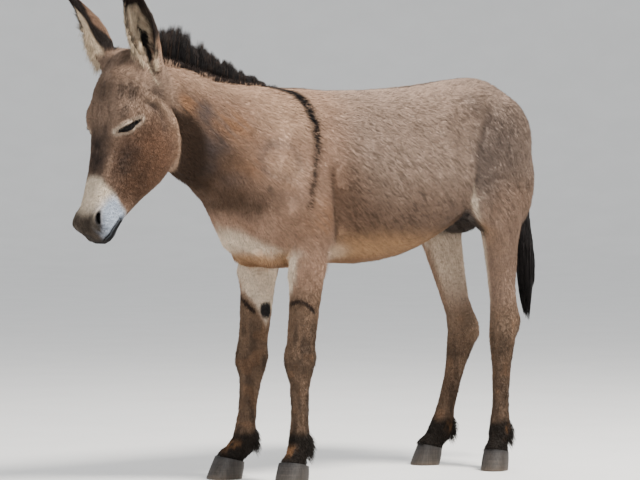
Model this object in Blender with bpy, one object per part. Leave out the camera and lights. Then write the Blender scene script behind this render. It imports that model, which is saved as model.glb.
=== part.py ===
"""A life-size standing donkey, modelled whole and parted with thin cuts into its named parts.

Metres, +Z up. The donkey faces -X and its left side faces -Y. The form is built round the withers,
which stand over x = 0, and is moved at the end so that the box round it stands on the origin.
"""

import math

import bmesh
import bpy
import numpy as np
from mathutils import Matrix, Vector

# ---------------------------------------------------------------- driving dimensions
WITHERS_HEIGHT = 1.139
HEAD_LENGTH = 0.50          # from between the ears to the end of the upper lip
EAR_LENGTH = 0.255
EYE_RADIUS = 0.0205
HOOF_HEIGHT = 0.056
CUT_GAP = 0.0006            # between neighbouring parts
VOXEL = 0.007               # grain of the union that blends the forms
FLESH_TRIANGLES = 3650      # of the flesh before it is parted
RING_POINTS = 28

HEAD_TOP = Vector((-0.515, -0.05, 1.175))       # the point between the ears
HEAD_TILT = math.radians(20)                    # of the face from the vertical
HEAD_YAW = math.radians(6)                      # of the head, to its left

COLOURS = {
    "coat": (0.36, 0.26, 0.19, 1.0),
    "dark": (0.05, 0.04, 0.035, 1.0),
    "hoof": (0.16, 0.145, 0.13, 1.0),
    "eye": (0.012, 0.01, 0.009, 1.0),
}
ROUGHNESS = {"coat": 0.85, "dark": 0.8, "hoof": 0.6, "eye": 0.12}


# ---------------------------------------------------------------- general helpers
def clear_scene():
    for obj in list(bpy.data.objects):
        bpy.data.objects.remove(obj)


def material(kind):
    made = bpy.data.materials.get(kind)
    if made is None:
        made = bpy.data.materials.new(kind)
        made.use_nodes = True
        shader = made.node_tree.nodes["Principled BSDF"]
        shader.inputs["Base Color"].default_value = COLOURS[kind]
        shader.inputs["Roughness"].default_value = ROUGHNESS[kind]
        shader.inputs["Metallic"].default_value = 0.0
        made.diffuse_color = COLOURS[kind]
    return made


def add_object(name, bm, kind="coat"):
    bmesh.ops.triangulate(bm, faces=bm.faces[:])
    mesh = bpy.data.meshes.new(name)
    bm.to_mesh(mesh)
    bm.free()
    mesh.shade_smooth()
    mesh.set_sharp_from_angle(angle=math.radians(50))
    obj = bpy.data.objects.new(name, mesh)
    obj.data.materials.append(material(kind))
    bpy.context.scene.collection.objects.link(obj)
    return obj


def smooth_rows(rows, steps):
    """Rows of numbers made denser along a Catmull-Rom curve, steps to each span."""
    rows = np.array(rows, float)
    padded = np.vstack([2 * rows[0] - rows[1], rows, 2 * rows[-1] - rows[-2]])
    made = []
    for i in range(1, len(padded) - 2):
        a, b, c, d = padded[i - 1:i + 3]
        for t in np.arange(steps) / steps:
            made.append(0.5 * (2 * b + (c - a) * t + (2 * a - 5 * b + 4 * c - d) * t ** 2
                               + (3 * b - a - 3 * c + d) * t ** 3))
    made.append(rows[-1])
    return np.array(made)


def ring(bm, centre, side, up, wide, above, below, egg=0.0, power=2.0, points=RING_POINTS):
    """An oval loop: wide to each side, above and below its centre. A positive egg widens its top."""
    verts = bmesh.ops.create_circle(bm, segments=points, radius=1.0)["verts"]
    for v in verts:
        c, s = v.co.x, v.co.y
        across = math.copysign(abs(c) ** (2 / power), c) * wide * (1 + egg * s)
        along = math.copysign(abs(s) ** (2 / power), s) * (above if s > 0 else below)
        v.co = centre + side * across + up * along
    return verts


def loop_edges(verts):
    inside = set(verts)
    return list({e for v in verts for e in v.link_edges if e.other_vert(v) in inside})


def skin_over(bm, rings):
    """Bridges each loop to the next and closes both ends."""
    ends = [loop_edges(r) for r in rings]
    for first, second in zip(ends, ends[1:]):
        bmesh.ops.bridge_loops(bm, edges=first + second)
    for end in (ends[0], ends[-1]):
        bmesh.ops.contextual_create(bm, geom=end)


def fresh():
    return bmesh.new()


def add_into(bm, other):
    """Puts a closed shape into bm, facing out."""
    bmesh.ops.recalc_face_normals(other, faces=other.faces[:])
    mesh = bpy.data.meshes.new("passing")
    other.to_mesh(mesh)
    other.free()
    bm.from_mesh(mesh)
    bpy.data.meshes.remove(mesh)


def tube(path_rows, steps=4, side=Vector((0, 1, 0)), points=RING_POINTS):
    """A limb along rows of (x, y, z, front, rear, lateral), its loops square to the path."""
    rows = smooth_rows(path_rows, steps)
    bm = fresh()
    rings = []
    for i, row in enumerate(rows):
        ahead, back = rows[min(i + 1, len(rows) - 1)], rows[max(i - 1, 0)]
        along = Vector(ahead[:3] - back[:3]).normalized()
        fore = side.cross(along).normalized()
        if fore.x > 0:
            fore = -fore
        across = along.cross(fore).normalized()
        rings.append(ring(bm, Vector(row[:3]), across, fore, row[5], row[3], row[4], points=points))
    skin_over(bm, rings)
    return bm


def ellipsoid(centre, radii, turn=Matrix.Identity(3), segments=24):
    bm = fresh()
    bmesh.ops.create_uvsphere(bm, u_segments=segments, v_segments=segments // 2 + 1, radius=1.0)
    for v in bm.verts:
        v.co = Vector(centre) + turn @ Vector((v.co[i] * radii[i] for i in range(3)))
    return bm


# ---------------------------------------------------------------- the head's own frame
DOWN_FACE = Vector((-math.sin(HEAD_TILT) * math.cos(HEAD_YAW),
                    -math.sin(HEAD_TILT) * math.sin(HEAD_YAW), -math.cos(HEAD_TILT)))
OUT_OF_FACE = Vector((-math.cos(HEAD_TILT) * math.cos(HEAD_YAW),
                      -math.cos(HEAD_TILT) * math.sin(HEAD_YAW), math.sin(HEAD_TILT)))
HEAD_LEFT = Vector((math.sin(HEAD_YAW), -math.cos(HEAD_YAW), 0.0))
HEAD_TURN = Matrix((DOWN_FACE, OUT_OF_FACE, HEAD_LEFT)).transposed()


def on_head(down, out, left):
    """A place given down the face, out of it and to the head's left."""
    return HEAD_TOP + DOWN_FACE * down + OUT_OF_FACE * out + HEAD_LEFT * left


# ---------------------------------------------------------------- the forms of the body
# x, top, bottom, half width, egg
TRUNK = [
    (-0.215, 0.850, 0.730, 0.040, 0.00),
    (-0.185, 0.950, 0.672, 0.078, 0.00),
    (-0.130, 1.050, 0.636, 0.112, -0.05),
    (-0.060, 1.120, 0.614, 0.140, -0.12),
    (0.020, WITHERS_HEIGHT, 0.612, 0.163, -0.18),
    (0.120, 1.134, 0.624, 0.183, -0.18),
    (0.240, 1.133, 0.620, 0.203, -0.16),
    (0.360, 1.140, 0.632, 0.212, -0.13),
    (0.460, 1.149, 0.662, 0.208, -0.08),
    (0.550, 1.161, 0.708, 0.197, -0.03),
    (0.630, 1.173, 0.750, 0.187, 0.00),
    (0.710, 1.177, 0.780, 0.178, 0.00),
    (0.780, 1.145, 0.795, 0.158, 0.00),
    (0.830, 1.078, 0.805, 0.128, 0.00),
    (0.862, 1.005, 0.825, 0.090, 0.00),
]
# crest x and z, underline x and z, sideways shift, half width, egg
NECK = [
    (-0.010, 1.139, -0.150, 0.700, 0.000, 0.140, -0.10),
    (-0.100, 1.146, -0.215, 0.735, 0.000, 0.118, -0.12),
    (-0.190, 1.155, -0.262, 0.800, -0.004, 0.098, -0.15),
    (-0.280, 1.174, -0.320, 0.846, -0.014, 0.085, -0.15),
    (-0.360, 1.195, -0.382, 0.877, -0.028, 0.078, -0.12),
    (-0.435, 1.208, -0.440, 0.915, -0.040, 0.074, -0.05),
    (-0.495, 1.190, -0.490, 0.980, -0.048, 0.064, 0.00),
]
# down the face, out to the profile, in to the throat or chin, half width, egg, squareness
HEAD = [
    (-0.048, 0.046, -0.030, 0.045, 0.00, 2.0),
    (-0.020, 0.078, -0.075, 0.068, 0.00, 2.2),
    (0.030, 0.097, -0.112, 0.078, 0.02, 2.4),
    (0.080, 0.104, -0.140, 0.083, 0.05, 2.6),
    (0.130, 0.100, -0.162, 0.088, 0.08, 2.7),
    (0.180, 0.085, -0.176, 0.087, 0.04, 2.7),
    (0.220, 0.073, -0.176, 0.080, -0.02, 2.8),
    (0.260, 0.064, -0.165, 0.072, -0.06, 2.9),
    (0.300, 0.058, -0.143, 0.065, -0.08, 2.9),
    (0.340, 0.055, -0.116, 0.058, -0.08, 2.8),
    (0.380, 0.053, -0.094, 0.054, -0.04, 2.6),
    (0.420, 0.050, -0.074, 0.054, 0.00, 2.4),
    (0.455, 0.037, -0.064, 0.056, 0.02, 2.3),
    (0.482, 0.014, -0.058, 0.049, 0.00, 2.2),
    (HEAD_LENGTH, -0.010, -0.046, 0.030, 0.00, 2.0),
]
# place along the leg, front, rear, lateral
FORELEG = [
    (-0.45, 0.072, 0.080, 0.048),
    (-0.20, 0.080, 0.080, 0.055),
    (0.00, 0.067, 0.072, 0.054),
    (0.25, 0.056, 0.056, 0.049),
    (0.50, 0.049, 0.051, 0.045),
    (0.75, 0.045, 0.046, 0.042),
    (0.88, 0.046, 0.046, 0.043),
    (1.00, 0.051, 0.047, 0.047),
    (1.10, 0.047, 0.046, 0.043),
    (1.22, 0.035, 0.040, 0.034),
    (1.40, 0.029, 0.034, 0.027),
    (1.70, 0.028, 0.033, 0.026),
    (1.88, 0.032, 0.038, 0.030),
    (2.00, 0.037, 0.046, 0.034),
    (2.30, 0.034, 0.042, 0.031),
    (2.60, 0.033, 0.037, 0.031),
    (2.85, 0.038, 0.037, 0.035),
    (3.00, 0.044, 0.040, 0.040),
    (3.25, 0.046, 0.042, 0.041),
]
HINDLEG = [
    (-0.35, 0.070, 0.105, 0.045),
    (-0.15, 0.080, 0.130, 0.064),
    (0.00, 0.075, 0.116, 0.068),
    (0.20, 0.064, 0.080, 0.058),
    (0.40, 0.055, 0.060, 0.049),
    (0.60, 0.047, 0.050, 0.042),
    (0.80, 0.040, 0.044, 0.037),
    (0.92, 0.042, 0.048, 0.038),
    (1.00, 0.047, 0.053, 0.041),
    (1.12, 0.043, 0.046, 0.040),
    (1.27, 0.034, 0.037, 0.034),
    (1.45, 0.029, 0.032, 0.028),
    (1.70, 0.027, 0.030, 0.026),
    (1.88, 0.031, 0.035, 0.029),
    (2.00, 0.037, 0.045, 0.034),
    (2.30, 0.034, 0.042, 0.031),
    (2.60, 0.033, 0.037, 0.031),
    (2.85, 0.038, 0.037, 0.035),
    (3.00, 0.044, 0.040, 0.040),
    (3.25, 0.046, 0.042, 0.041),
]
# upper joint, middle joint and fetlock; how far the hoof's top stands ahead of the fetlock; the turn of
# the toe from straight ahead, in degrees, below 0 to the donkey's left; the hoof's size
LEGS = {
    "fore_left": {"joints": ((0.015, -0.122, 0.655), (-0.016, -0.120, 0.355), (-0.015, -0.118, 0.110)),
                  "stride": 0.040, "toe_out": -30, "hoof_size": 1.0, "profile": FORELEG},
    "fore_right": {"joints": ((0.012, 0.118, 0.655), (-0.018, 0.118, 0.345), (-0.046, 0.118, 0.108)),
                   "stride": 0.048, "toe_out": 3, "hoof_size": 1.0, "profile": FORELEG},
    "hind_left": {"joints": ((0.712, -0.132, 0.770), (0.740, -0.110, 0.425), (0.721, -0.122, 0.116)),
                  "stride": 0.030, "toe_out": -30, "hoof_size": 0.86, "profile": HINDLEG},
    "hind_right": {"joints": ((0.670, 0.130, 0.770), (0.760, 0.108, 0.400), (0.682, 0.114, 0.112)),
                   "stride": 0.038, "toe_out": 8, "hoof_size": 0.86, "profile": HINDLEG},
}
# height, forward shift, front, rear, half width
HOOF = [
    (0.000, 0.013, 0.057, 0.044, 0.0445),
    (0.004, 0.013, 0.059, 0.046, 0.0460),
    (0.030, 0.006, 0.053, 0.045, 0.0450),
    (0.056, 0.000, 0.046, 0.041, 0.0425),
    (0.080, -0.006, 0.040, 0.038, 0.0400),
]
# the tail's dock and switch: x, y, z, front, rear, lateral
TAIL_DOCK = [
    (0.815, 0.000, 1.050, 0.032, 0.034, 0.034),
    (0.858, 0.000, 1.028, 0.028, 0.028, 0.030),
    (0.890, 0.000, 0.982, 0.023, 0.023, 0.026),
    (0.904, 0.000, 0.920, 0.021, 0.021, 0.024),
    (0.910, 0.000, 0.850, 0.019, 0.020, 0.023),
    (0.910, 0.001, 0.770, 0.018, 0.019, 0.023),
]
TAIL_SWITCH = [
    (0.910, 0.001, 0.770, 0.020, 0.021, 0.025),
    (0.909, 0.001, 0.730, 0.024, 0.025, 0.030),
    (0.916, 0.000, 0.670, 0.030, 0.029, 0.034),
    (0.920, 0.000, 0.600, 0.033, 0.031, 0.035),
    (0.922, 0.001, 0.540, 0.028, 0.027, 0.030),
    (0.928, 0.002, 0.480, 0.018, 0.018, 0.020),
    (0.932, 0.002, 0.430, 0.006, 0.006, 0.007),
]
# how far along the crest the mane stands, its height over the crest and half thickness
MANE = [
    (-0.470, 1.170, 0.060, 0.014),
    (-0.440, 1.190, 0.100, 0.018),
    (-0.400, 1.190, 0.105, 0.020),
    (-0.340, 1.177, 0.098, 0.020),
    (-0.280, 1.160, 0.084, 0.018),
    (-0.220, 1.147, 0.068, 0.016),
    (-0.160, 1.138, 0.052, 0.014),
    (-0.100, 1.132, 0.036, 0.011),
    (-0.050, 1.128, 0.020, 0.008),
]
# distance from the base, radius, half arc of the wall in degrees, wall thickness
EAR = [
    (-0.035, 0.026, 165, 0.0100),
    (0.000, 0.030, 155, 0.0095),
    (0.035, 0.034, 138, 0.0085),
    (0.075, 0.0385, 118, 0.0075),
    (0.115, 0.037, 104, 0.0065),
    (0.155, 0.029, 96, 0.0062),
    (0.195, 0.0205, 90, 0.0060),
    (0.230, 0.012, 86, 0.0055),
    (EAR_LENGTH, 0.0045, 80, 0.0040),
]
# base on the head; direction of the tip; direction that the opening faces; curl of the tip
EARS = {
    "ear_left": {"base": (-0.022, 0.018, 0.060), "tip": (-0.40, -0.14, 0.91), "faces": (-0.62, -0.78, 0.0)},
    "ear_right": {"base": (-0.006, 0.066, -0.072), "tip": (-0.16, 0.54, 0.82), "faces": (-0.70, 0.70, 0.0)},
}
EYE_PLACE = (0.183, 0.036, 0.0670)     # of the left eye on the head
EYE_SLIT = (0.029, 0.0085, 0.030)      # half length, half height and depth of the opening of the lids
EYE_SLOPE = math.radians(41)           # of the slit, from straight down the face towards its front


def trunk_form():
    bm = fresh()
    rings = []
    for x, top, bottom, wide, egg in smooth_rows(TRUNK, 3):
        middle = bottom + 0.47 * (top - bottom)
        rings.append(ring(bm, Vector((x, 0, middle)), Vector((0, 1, 0)), Vector((0, 0, 1)),
                          wide, top - middle, middle - bottom, egg, 2.1))
    skin_over(bm, rings)
    return bm


def neck_form():
    bm = fresh()
    rings = []
    for crest_x, crest_z, under_x, under_z, shift, wide, egg in smooth_rows(NECK, 4):
        crest, under = Vector((crest_x, shift, crest_z)), Vector((under_x, shift, under_z))
        up = (crest - under).normalized()
        half = (crest - under).length / 2
        rings.append(ring(bm, (crest + under) / 2, Vector((0, 1, 0)), up, wide, half, half, egg, 2.0))
    skin_over(bm, rings)
    return bm


def head_form():
    bm = fresh()
    rings = []
    for down, out, inward, wide, egg, power in smooth_rows(HEAD, 4):
        middle, half = (out + inward) / 2, (out - inward) / 2
        rings.append(ring(bm, on_head(down, middle, 0), HEAD_LEFT, OUT_OF_FACE, wide, half, half, egg, power))
    skin_over(bm, rings)
    return bm


def head_lump(place, radii, side):
    """A swelling on one side of the head; radii run down the face, out of it and sideways."""
    down, out, left = place
    return ellipsoid(on_head(down, out, left * side), radii, HEAD_TURN)


def toe_direction(leg):
    angle = math.radians(leg["toe_out"])
    return Vector((-math.cos(angle), math.sin(angle), 0.0))


def coronet_of(leg):
    """Centre of the top of the hoof."""
    fetlock = Vector(leg["joints"][2])
    place = fetlock + toe_direction(leg) * leg["stride"]
    place.z = HOOF_HEIGHT
    return place


def leg_form(leg):
    joints = [Vector(j) for j in leg["joints"]] + [coronet_of(leg)]
    toe = toe_direction(leg)
    below = joints[3] + Vector((toe.x * 0.01, toe.y * 0.01, -0.02))
    above = joints[0] + (joints[0] - joints[1]) * 0.45
    above.y *= 0.7                          # the top of the limb leans in, under the trunk's side
    line = [above, *joints, below]
    marks = [-0.45, 0, 1, 2, 3, 3.25]
    rows = []
    for place, front, rear, lateral in smooth_rows(leg["profile"], 2):
        span = max(i for i, m in enumerate(marks[:-1]) if m <= place + 1e-9)
        share = (place - marks[span]) / (marks[span + 1] - marks[span])
        centre = line[span].lerp(line[span + 1], share)
        rows.append((*centre, front, rear, lateral))
    bend = 3                                # rows averaged, so that joints bend and don't kink
    points = np.array(rows)
    eased = points.copy()
    for i in range(1, len(points) - 1):
        low, high = max(0, i - bend // 2), min(len(points), i + bend // 2 + 1)
        eased[i, :3] = points[low:high, :3].mean(0)
    side = Vector((-toe.y, toe.x, 0.0))
    if side.y < 0:
        side = -side
    return tube(eased, steps=1, side=side)


def hock_and_tendon(leg):
    """The point of the hock with the tendon that runs up from it."""
    stifle, hock = Vector(leg["joints"][0]), Vector(leg["joints"][1])
    rear = Vector((1.0, 0.0, 0.0))
    rows = []
    for share, behind, thick in ((-0.06, 0.036, 0.018), (0.02, 0.047, 0.021), (0.09, 0.050, 0.019),
                                 (0.20, 0.043, 0.015), (0.35, 0.036, 0.015), (0.55, 0.034, 0.022)):
        centre = hock.lerp(stifle, share) + rear * behind
        rows.append((*centre, thick, thick, thick))
    return tube(rows)


def flesh_forms():
    """Every rounded form of the body, closed and overlapping, in one mesh."""
    whole = fresh()
    for made in (trunk_form(), neck_form(), head_form()):
        add_into(whole, made)
    for side in (-1, 1):
        shoulder = Matrix.Rotation(math.radians(26), 3, "Y")
        lumps = [
            ((-0.045, 0.098 * side, 0.890), (0.080, 0.048, 0.185), shoulder),      # shoulder blade
            ((0.010, 0.118 * side, 0.790), (0.098, 0.060, 0.160), Matrix.Identity(3)),   # upper arm
            ((-0.095, 0.085 * side, 0.775), (0.070, 0.058, 0.095), Matrix.Identity(3)),  # point of shoulder
            ((-0.070, 0.050 * side, 0.670), (0.075, 0.050, 0.055), Matrix.Identity(3)),  # breast
            ((0.715, 0.092 * side, 0.970), (0.140, 0.100, 0.165), Matrix.Identity(3)),   # haunch
            ((0.775, 0.095 * side, 0.870), (0.105, 0.082, 0.150), Matrix.Identity(3)),   # buttock
            ((0.655, 0.114 * side, 0.840), (0.075, 0.070, 0.120), Matrix.Identity(3)),   # stifle
        ]
        for centre, radii, turn in lumps:
            add_into(whole, ellipsoid(centre, radii, turn))
        add_into(whole, head_lump((0.152, 0.045, 0.058), (0.058, 0.040, 0.035), side))    # brow round the eye
        add_into(whole, head_lump((0.170, -0.080, 0.050), (0.100, 0.082, 0.030), side))   # cheek
        add_into(whole, head_lump((0.452, 0.022, 0.036), (0.032, 0.024, 0.023), side))    # nostril
        add_into(whole, head_lump((-0.010, 0.028, 0.050), (0.045, 0.045, 0.036), side))   # root of the ear
    add_into(whole, ellipsoid((0.650, 0.0, 0.755), (0.085, 0.050, 0.055)))                # sheath
    for name, leg in LEGS.items():
        add_into(whole, leg_form(leg))
        if name.startswith("hind"):
            add_into(whole, hock_and_tendon(leg))
        else:
            knee = Vector(leg["joints"][1])
            add_into(whole, ellipsoid(knee + Vector((0.040, 0, 0.010)), (0.018, 0.020, 0.032)))
    return whole


def evaluated(bm, modifiers):
    """The mesh that a stack of modifiers makes of bm, as a new bmesh."""
    mesh = bpy.data.meshes.new("passing")
    bm.to_mesh(mesh)
    bm.free()
    obj = bpy.data.objects.new("passing", mesh)
    bpy.context.scene.collection.objects.link(obj)
    for kind, settings in modifiers:
        modifier = obj.modifiers.new(kind, kind)
        for key, value in settings.items():
            setattr(modifier, key, value)
    bpy.context.view_layer.update()
    made = obj.evaluated_get(bpy.context.evaluated_depsgraph_get()).to_mesh()
    result = fresh()
    result.from_mesh(made)
    bpy.data.objects.remove(obj)
    bpy.data.meshes.remove(mesh)
    return result


def press(bm, centre, radius, depth, direction=None):
    """Pushes the surface near centre by depth, along direction or its own normal, fading out at radius."""
    centre = Vector(centre)
    for v in bm.verts:
        gone = (v.co - centre).length / radius
        if gone < 1:
            v.co -= (direction or v.normal) * depth * (1 - gone * gone) ** 2


def shape_details(bm):
    """Hollows and grooves that the forms alone don't give."""
    for side in (-1, 1):
        bm.normal_update()
        press(bm, (0.560, 0.185 * side, 1.000), 0.110, 0.016)     # hollow of the flank
        press(bm, (0.095, 0.185 * side, 0.780), 0.090, 0.012)     # behind the upper arm
        press(bm, (0.880, 0.000, 0.900), 0.060, 0.010)            # cleft of the rump
        press(bm, on_head(0.100, 0.052, 0.092 * side), 0.035, 0.007)      # temple
        press(bm, on_head(0.270, 0.000, 0.070 * side), 0.060, 0.006)      # below the cheek bone
        press(bm, on_head(0.452, 0.026, 0.062 * side), 0.019, 0.012, HEAD_LEFT * side)    # nostril
    return bm


# ---------------------------------------------------------------- parting
def half(bm, point, normal):
    """What of bm lies on the side that the normal points to, closed along the cut."""
    part = bm.copy()
    normal = Vector(normal).normalized()
    cut = bmesh.ops.bisect_plane(part, geom=part.verts[:] + part.edges[:] + part.faces[:], dist=1e-6,
                                 plane_co=Vector(point) + normal * CUT_GAP / 2, plane_no=normal,
                                 clear_inner=True)
    bmesh.ops.holes_fill(part, edges=[e for e in cut["geom_cut"] if isinstance(e, bmesh.types.BMEdge)])
    return part


def eye_socket(side):
    """The hollow for one eyeball, with the slit between the lids that opens it."""
    down, out, left = EYE_PLACE
    centre = on_head(down, out, left * side)
    ball = ellipsoid(centre, (EYE_RADIUS + CUT_GAP,) * 3, segments=12)
    turn = HEAD_TURN @ Matrix.Rotation(EYE_SLOPE, 3, "Z") @ Matrix.Rotation(math.radians(22) * side, 3, "Y")
    slit = ellipsoid(centre + turn @ Vector((0, 0, 0.020 * side)), EYE_SLIT, turn, segments=10)
    return ball, slit


def part_in_two(bm, point, normal):
    normal = Vector(normal)
    ahead, behind = half(bm, point, normal), half(bm, point, -normal)
    bm.free()
    return ahead, behind


def island_near(bm, place):
    """Only the connected piece of bm that comes nearest to a place."""
    part = bm.copy()
    nearest = min(part.verts, key=lambda v: (v.co - Vector(place)).length_squared)
    kept, todo = {nearest}, [nearest]
    while todo:
        for e in todo.pop().link_edges:
            for v in e.verts:
                if v not in kept:
                    kept.add(v)
                    todo.append(v)
    bmesh.ops.delete(part, geom=[v for v in part.verts if v not in kept], context="VERTS")
    return part


def grown(bm, by):
    made = bm.copy()
    made.normal_update()
    for v in made.verts:
        v.co += v.normal * by
    return made


def without(bm, cutter):
    """bm with the cutter taken out of it, by a Boolean."""
    mesh = bpy.data.meshes.new("cutter")
    cutter.to_mesh(mesh)
    cutter.free()
    tool = bpy.data.objects.new("cutter", mesh)
    tool.hide_render = True
    bpy.context.scene.collection.objects.link(tool)
    result = evaluated(bm, [("BOOLEAN", {"operation": "DIFFERENCE", "object": tool, "solver": "EXACT"})])
    bpy.data.objects.remove(tool)
    bpy.data.meshes.remove(mesh)
    return result


def cut_leg(name, leg, block):
    """Parts one leg at its joints, from the block that holds it, down to the hoof."""
    joints = [Vector(j) for j in leg["joints"]]
    middle = joints[1].z
    fetlock = joints[2].z
    fore = name.startswith("fore")
    limb = island_near(block, joints[2])
    above = 0.045 if fore else 0.065
    upper, rest = part_in_two(limb, (0, 0, middle + above), (0, 0, 1))
    cannon, rest = part_in_two(rest, (0, 0, fetlock + 0.030), (0, 0, 1))
    point, normal = coronet_plane(leg)
    pastern = half(rest, point, normal)
    rest.free()
    add_object(f"{name}_forearm" if fore else f"{name}_gaskin", upper)
    add_object(f"{name}_cannon", cannon)
    add_object(f"{name}_pastern", pastern, "dark")


def coronet_plane(leg):
    """The sloping plane on which the hoof meets the hair, higher at the toe."""
    toe = toe_direction(leg)
    slope = math.radians(14)
    normal = Vector((-toe.x * math.sin(slope), -toe.y * math.sin(slope), math.cos(slope)))
    return coronet_of(leg), normal


def hoof(name, leg):
    toe = toe_direction(leg)
    side = Vector((-toe.y, toe.x, 0.0))
    top = coronet_of(leg)
    bm = fresh()
    rings = []
    for z, shift, front, rear, wide in HOOF:
        centre = Vector((top.x, top.y, z)) + toe * shift
        size = leg["hoof_size"]
        rings.append(ring(bm, centre, side, toe, wide * size, front * size, rear * size, -0.06, 2.3, 18))
    skin_over(bm, rings)
    bmesh.ops.recalc_face_normals(bm, faces=bm.faces[:])
    point, normal = coronet_plane(leg)
    whole = half(bm, point, -normal)
    bm.free()
    add_object(f"{name}_hoof", whole, "hoof")


def ear(name, form):
    """One ear: a wall bent round its hollow, wide in the middle and pointed at the tip."""
    base = on_head(*form["base"])
    tip = Vector(form["tip"]).normalized()
    faces = Vector(form["faces"])
    faces = (faces - tip * faces.dot(tip)).normalized()
    side = tip.cross(faces)
    rows = smooth_rows(EAR, 1)
    bm = fresh()
    rings = []
    arc_points = 9
    for reach, radius, arc, thick in rows:
        share = max(reach, 0) / EAR_LENGTH
        centre = base + tip * reach + faces * (0.020 * share ** 2)
        verts = bmesh.ops.create_circle(bm, segments=2 * arc_points, radius=1.0)["verts"]
        for i, v in enumerate(verts):
            outer = i < arc_points
            turn = i if outer else 2 * arc_points - 1 - i
            angle = math.radians(arc) * (2 * turn / (arc_points - 1) - 1)
            edge = abs(2 * turn / (arc_points - 1) - 1) ** 4
            wall = thick * (1 - 0.45 * edge) / 2
            out = radius + (wall if outer else -wall)
            v.co = centre - faces * math.cos(angle) * out + side * math.sin(angle) * out
        rings.append(verts)
    skin_over(bm, rings)
    bmesh.ops.recalc_face_normals(bm, faces=bm.faces[:])
    return bm


def mane_form():
    """The upright mane as one fin, its foot sunk in the crest."""
    bm = fresh()
    rings = []
    for x, z, height, thick in smooth_rows(MANE, 1):
        lean = -0.12 * height
        shift = np.interp(x, [-0.49, -0.36, -0.28, -0.10], [-0.047, -0.028, -0.014, 0.0])
        centre = Vector((x + lean, shift, z + height / 2))
        rings.append(ring(bm, centre, Vector((0, 1, 0)), Vector((0, 0, 1)), thick, height / 2,
                          height / 2 + 0.012, egg=-0.45, power=2.2, points=10))
    skin_over(bm, rings)
    bmesh.ops.recalc_face_normals(bm, faces=bm.faces[:])
    return bm


def centre_on_floor():
    """Moves every part so that the box round them all stands on the origin."""
    parts = [o for o in bpy.data.objects if not o.hide_render]
    corners = np.array([list(v.co) for o in parts for v in o.data.vertices])
    low, high = corners.min(0), corners.max(0)
    shift = Vector((-(low[0] + high[0]) / 2, -(low[1] + high[1]) / 2, -low[2]))
    for o in parts:
        o.data.transform(Matrix.Translation(shift))
    print("moved by", [round(s, 5) for s in shift])


def main():
    clear_scene()
    flesh = evaluated(flesh_forms(), [
        ("REMESH", {"mode": "VOXEL", "voxel_size": VOXEL}),
        ("SMOOTH", {"factor": 0.5, "iterations": 10}),
    ])
    flesh = shape_details(flesh)
    bmesh.ops.triangulate(flesh, faces=flesh.faces[:])
    ratio = FLESH_TRIANGLES / len(flesh.faces)
    flesh = evaluated(flesh, [("DECIMATE", {"decimate_type": "COLLAPSE", "ratio": ratio})])
    around = grown(flesh, CUT_GAP)

    for name, form in EARS.items():
        add_object(name, island_near(without(ear(name, form), around.copy()),
                                     on_head(*form["base"]) + Vector(form["tip"]) * 0.2))
    add_object("mane", without(mane_form(), around.copy()), "dark")
    dock = without(tube(TAIL_DOCK, steps=1, points=12), around.copy())
    dock = island_near(dock, (0.925, 0, 0.80))
    add_object("tail_dock", half(dock, (0, 0, 0.770), (0, 0, 1)))
    switch = without(tube(TAIL_SWITCH, steps=2, points=10), around.copy())
    add_object("tail_switch", half(switch, (0, 0, 0.770), (0, 0, -1)), "dark")

    head, body = part_in_two(flesh, (-0.425, -0.04, 1.04), (-1.0, -math.sin(HEAD_YAW), -0.19))
    for side, name in ((1, "eye_left"), (-1, "eye_right")):
        down, out, left = EYE_PLACE
        ball = ellipsoid(on_head(down, out, left * side), (EYE_RADIUS,) * 3, segments=12)
        for cutter in eye_socket(side):
            head = without(head, cutter)
        add_object(name, ball, "eye")
    add_object("head", head)

    neck, body = part_in_two(body, (-0.165, 0, 0.965), (-1.0, 0, 0.38))
    add_object("neck", neck)
    front, rear = part_in_two(body, (0.115, 0, 0.8), (-1, 0, 0))
    shoulders, forelegs = part_in_two(front, (0, 0, 0.590), (0, 0, 1))
    add_object("shoulders", shoulders)
    barrel, rear = part_in_two(rear, (0.60, 0, 0.95), (-1, 0, 0.10))
    add_object("barrel", barrel, "coat")
    rear, hindlegs = part_in_two(rear, (0, 0, 0.610), (0, 0, 1))
    left, rear = part_in_two(rear, (0, -0.045, 0.70), (0, -0.75, -0.66))
    right, rear = part_in_two(rear, (0, 0.045, 0.70), (0, 0.75, -0.66))
    add_object("hind_left_thigh", left)
    add_object("hind_right_thigh", right)
    add_object("croup", rear)
    for name, leg in LEGS.items():
        cut_leg(name, leg, forelegs if name.startswith("fore") else hindlegs)
        hoof(name, leg)
    forelegs.free()
    hindlegs.free()
    around.free()
    centre_on_floor()


main()
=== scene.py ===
# %% [markdown]
# # A donkey, life size
# A museum model of a standing donkey: one skin over the whole body, two eyes, four hooves, and a coat
# of solid tufts with an upright mane and a switch of long hair on the tail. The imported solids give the
# pose and every size. This lesson dresses them: it makes the skin, carves the small forms of the head
# and legs, grows the hair along the lie of the coat, and paints skin and hair from the same markings.

# %% Load the frame
from math import cos, pi, radians, sin

import bmesh
import bpy
import numpy as np
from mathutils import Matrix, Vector
from mathutils.kdtree import KDTree


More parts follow.
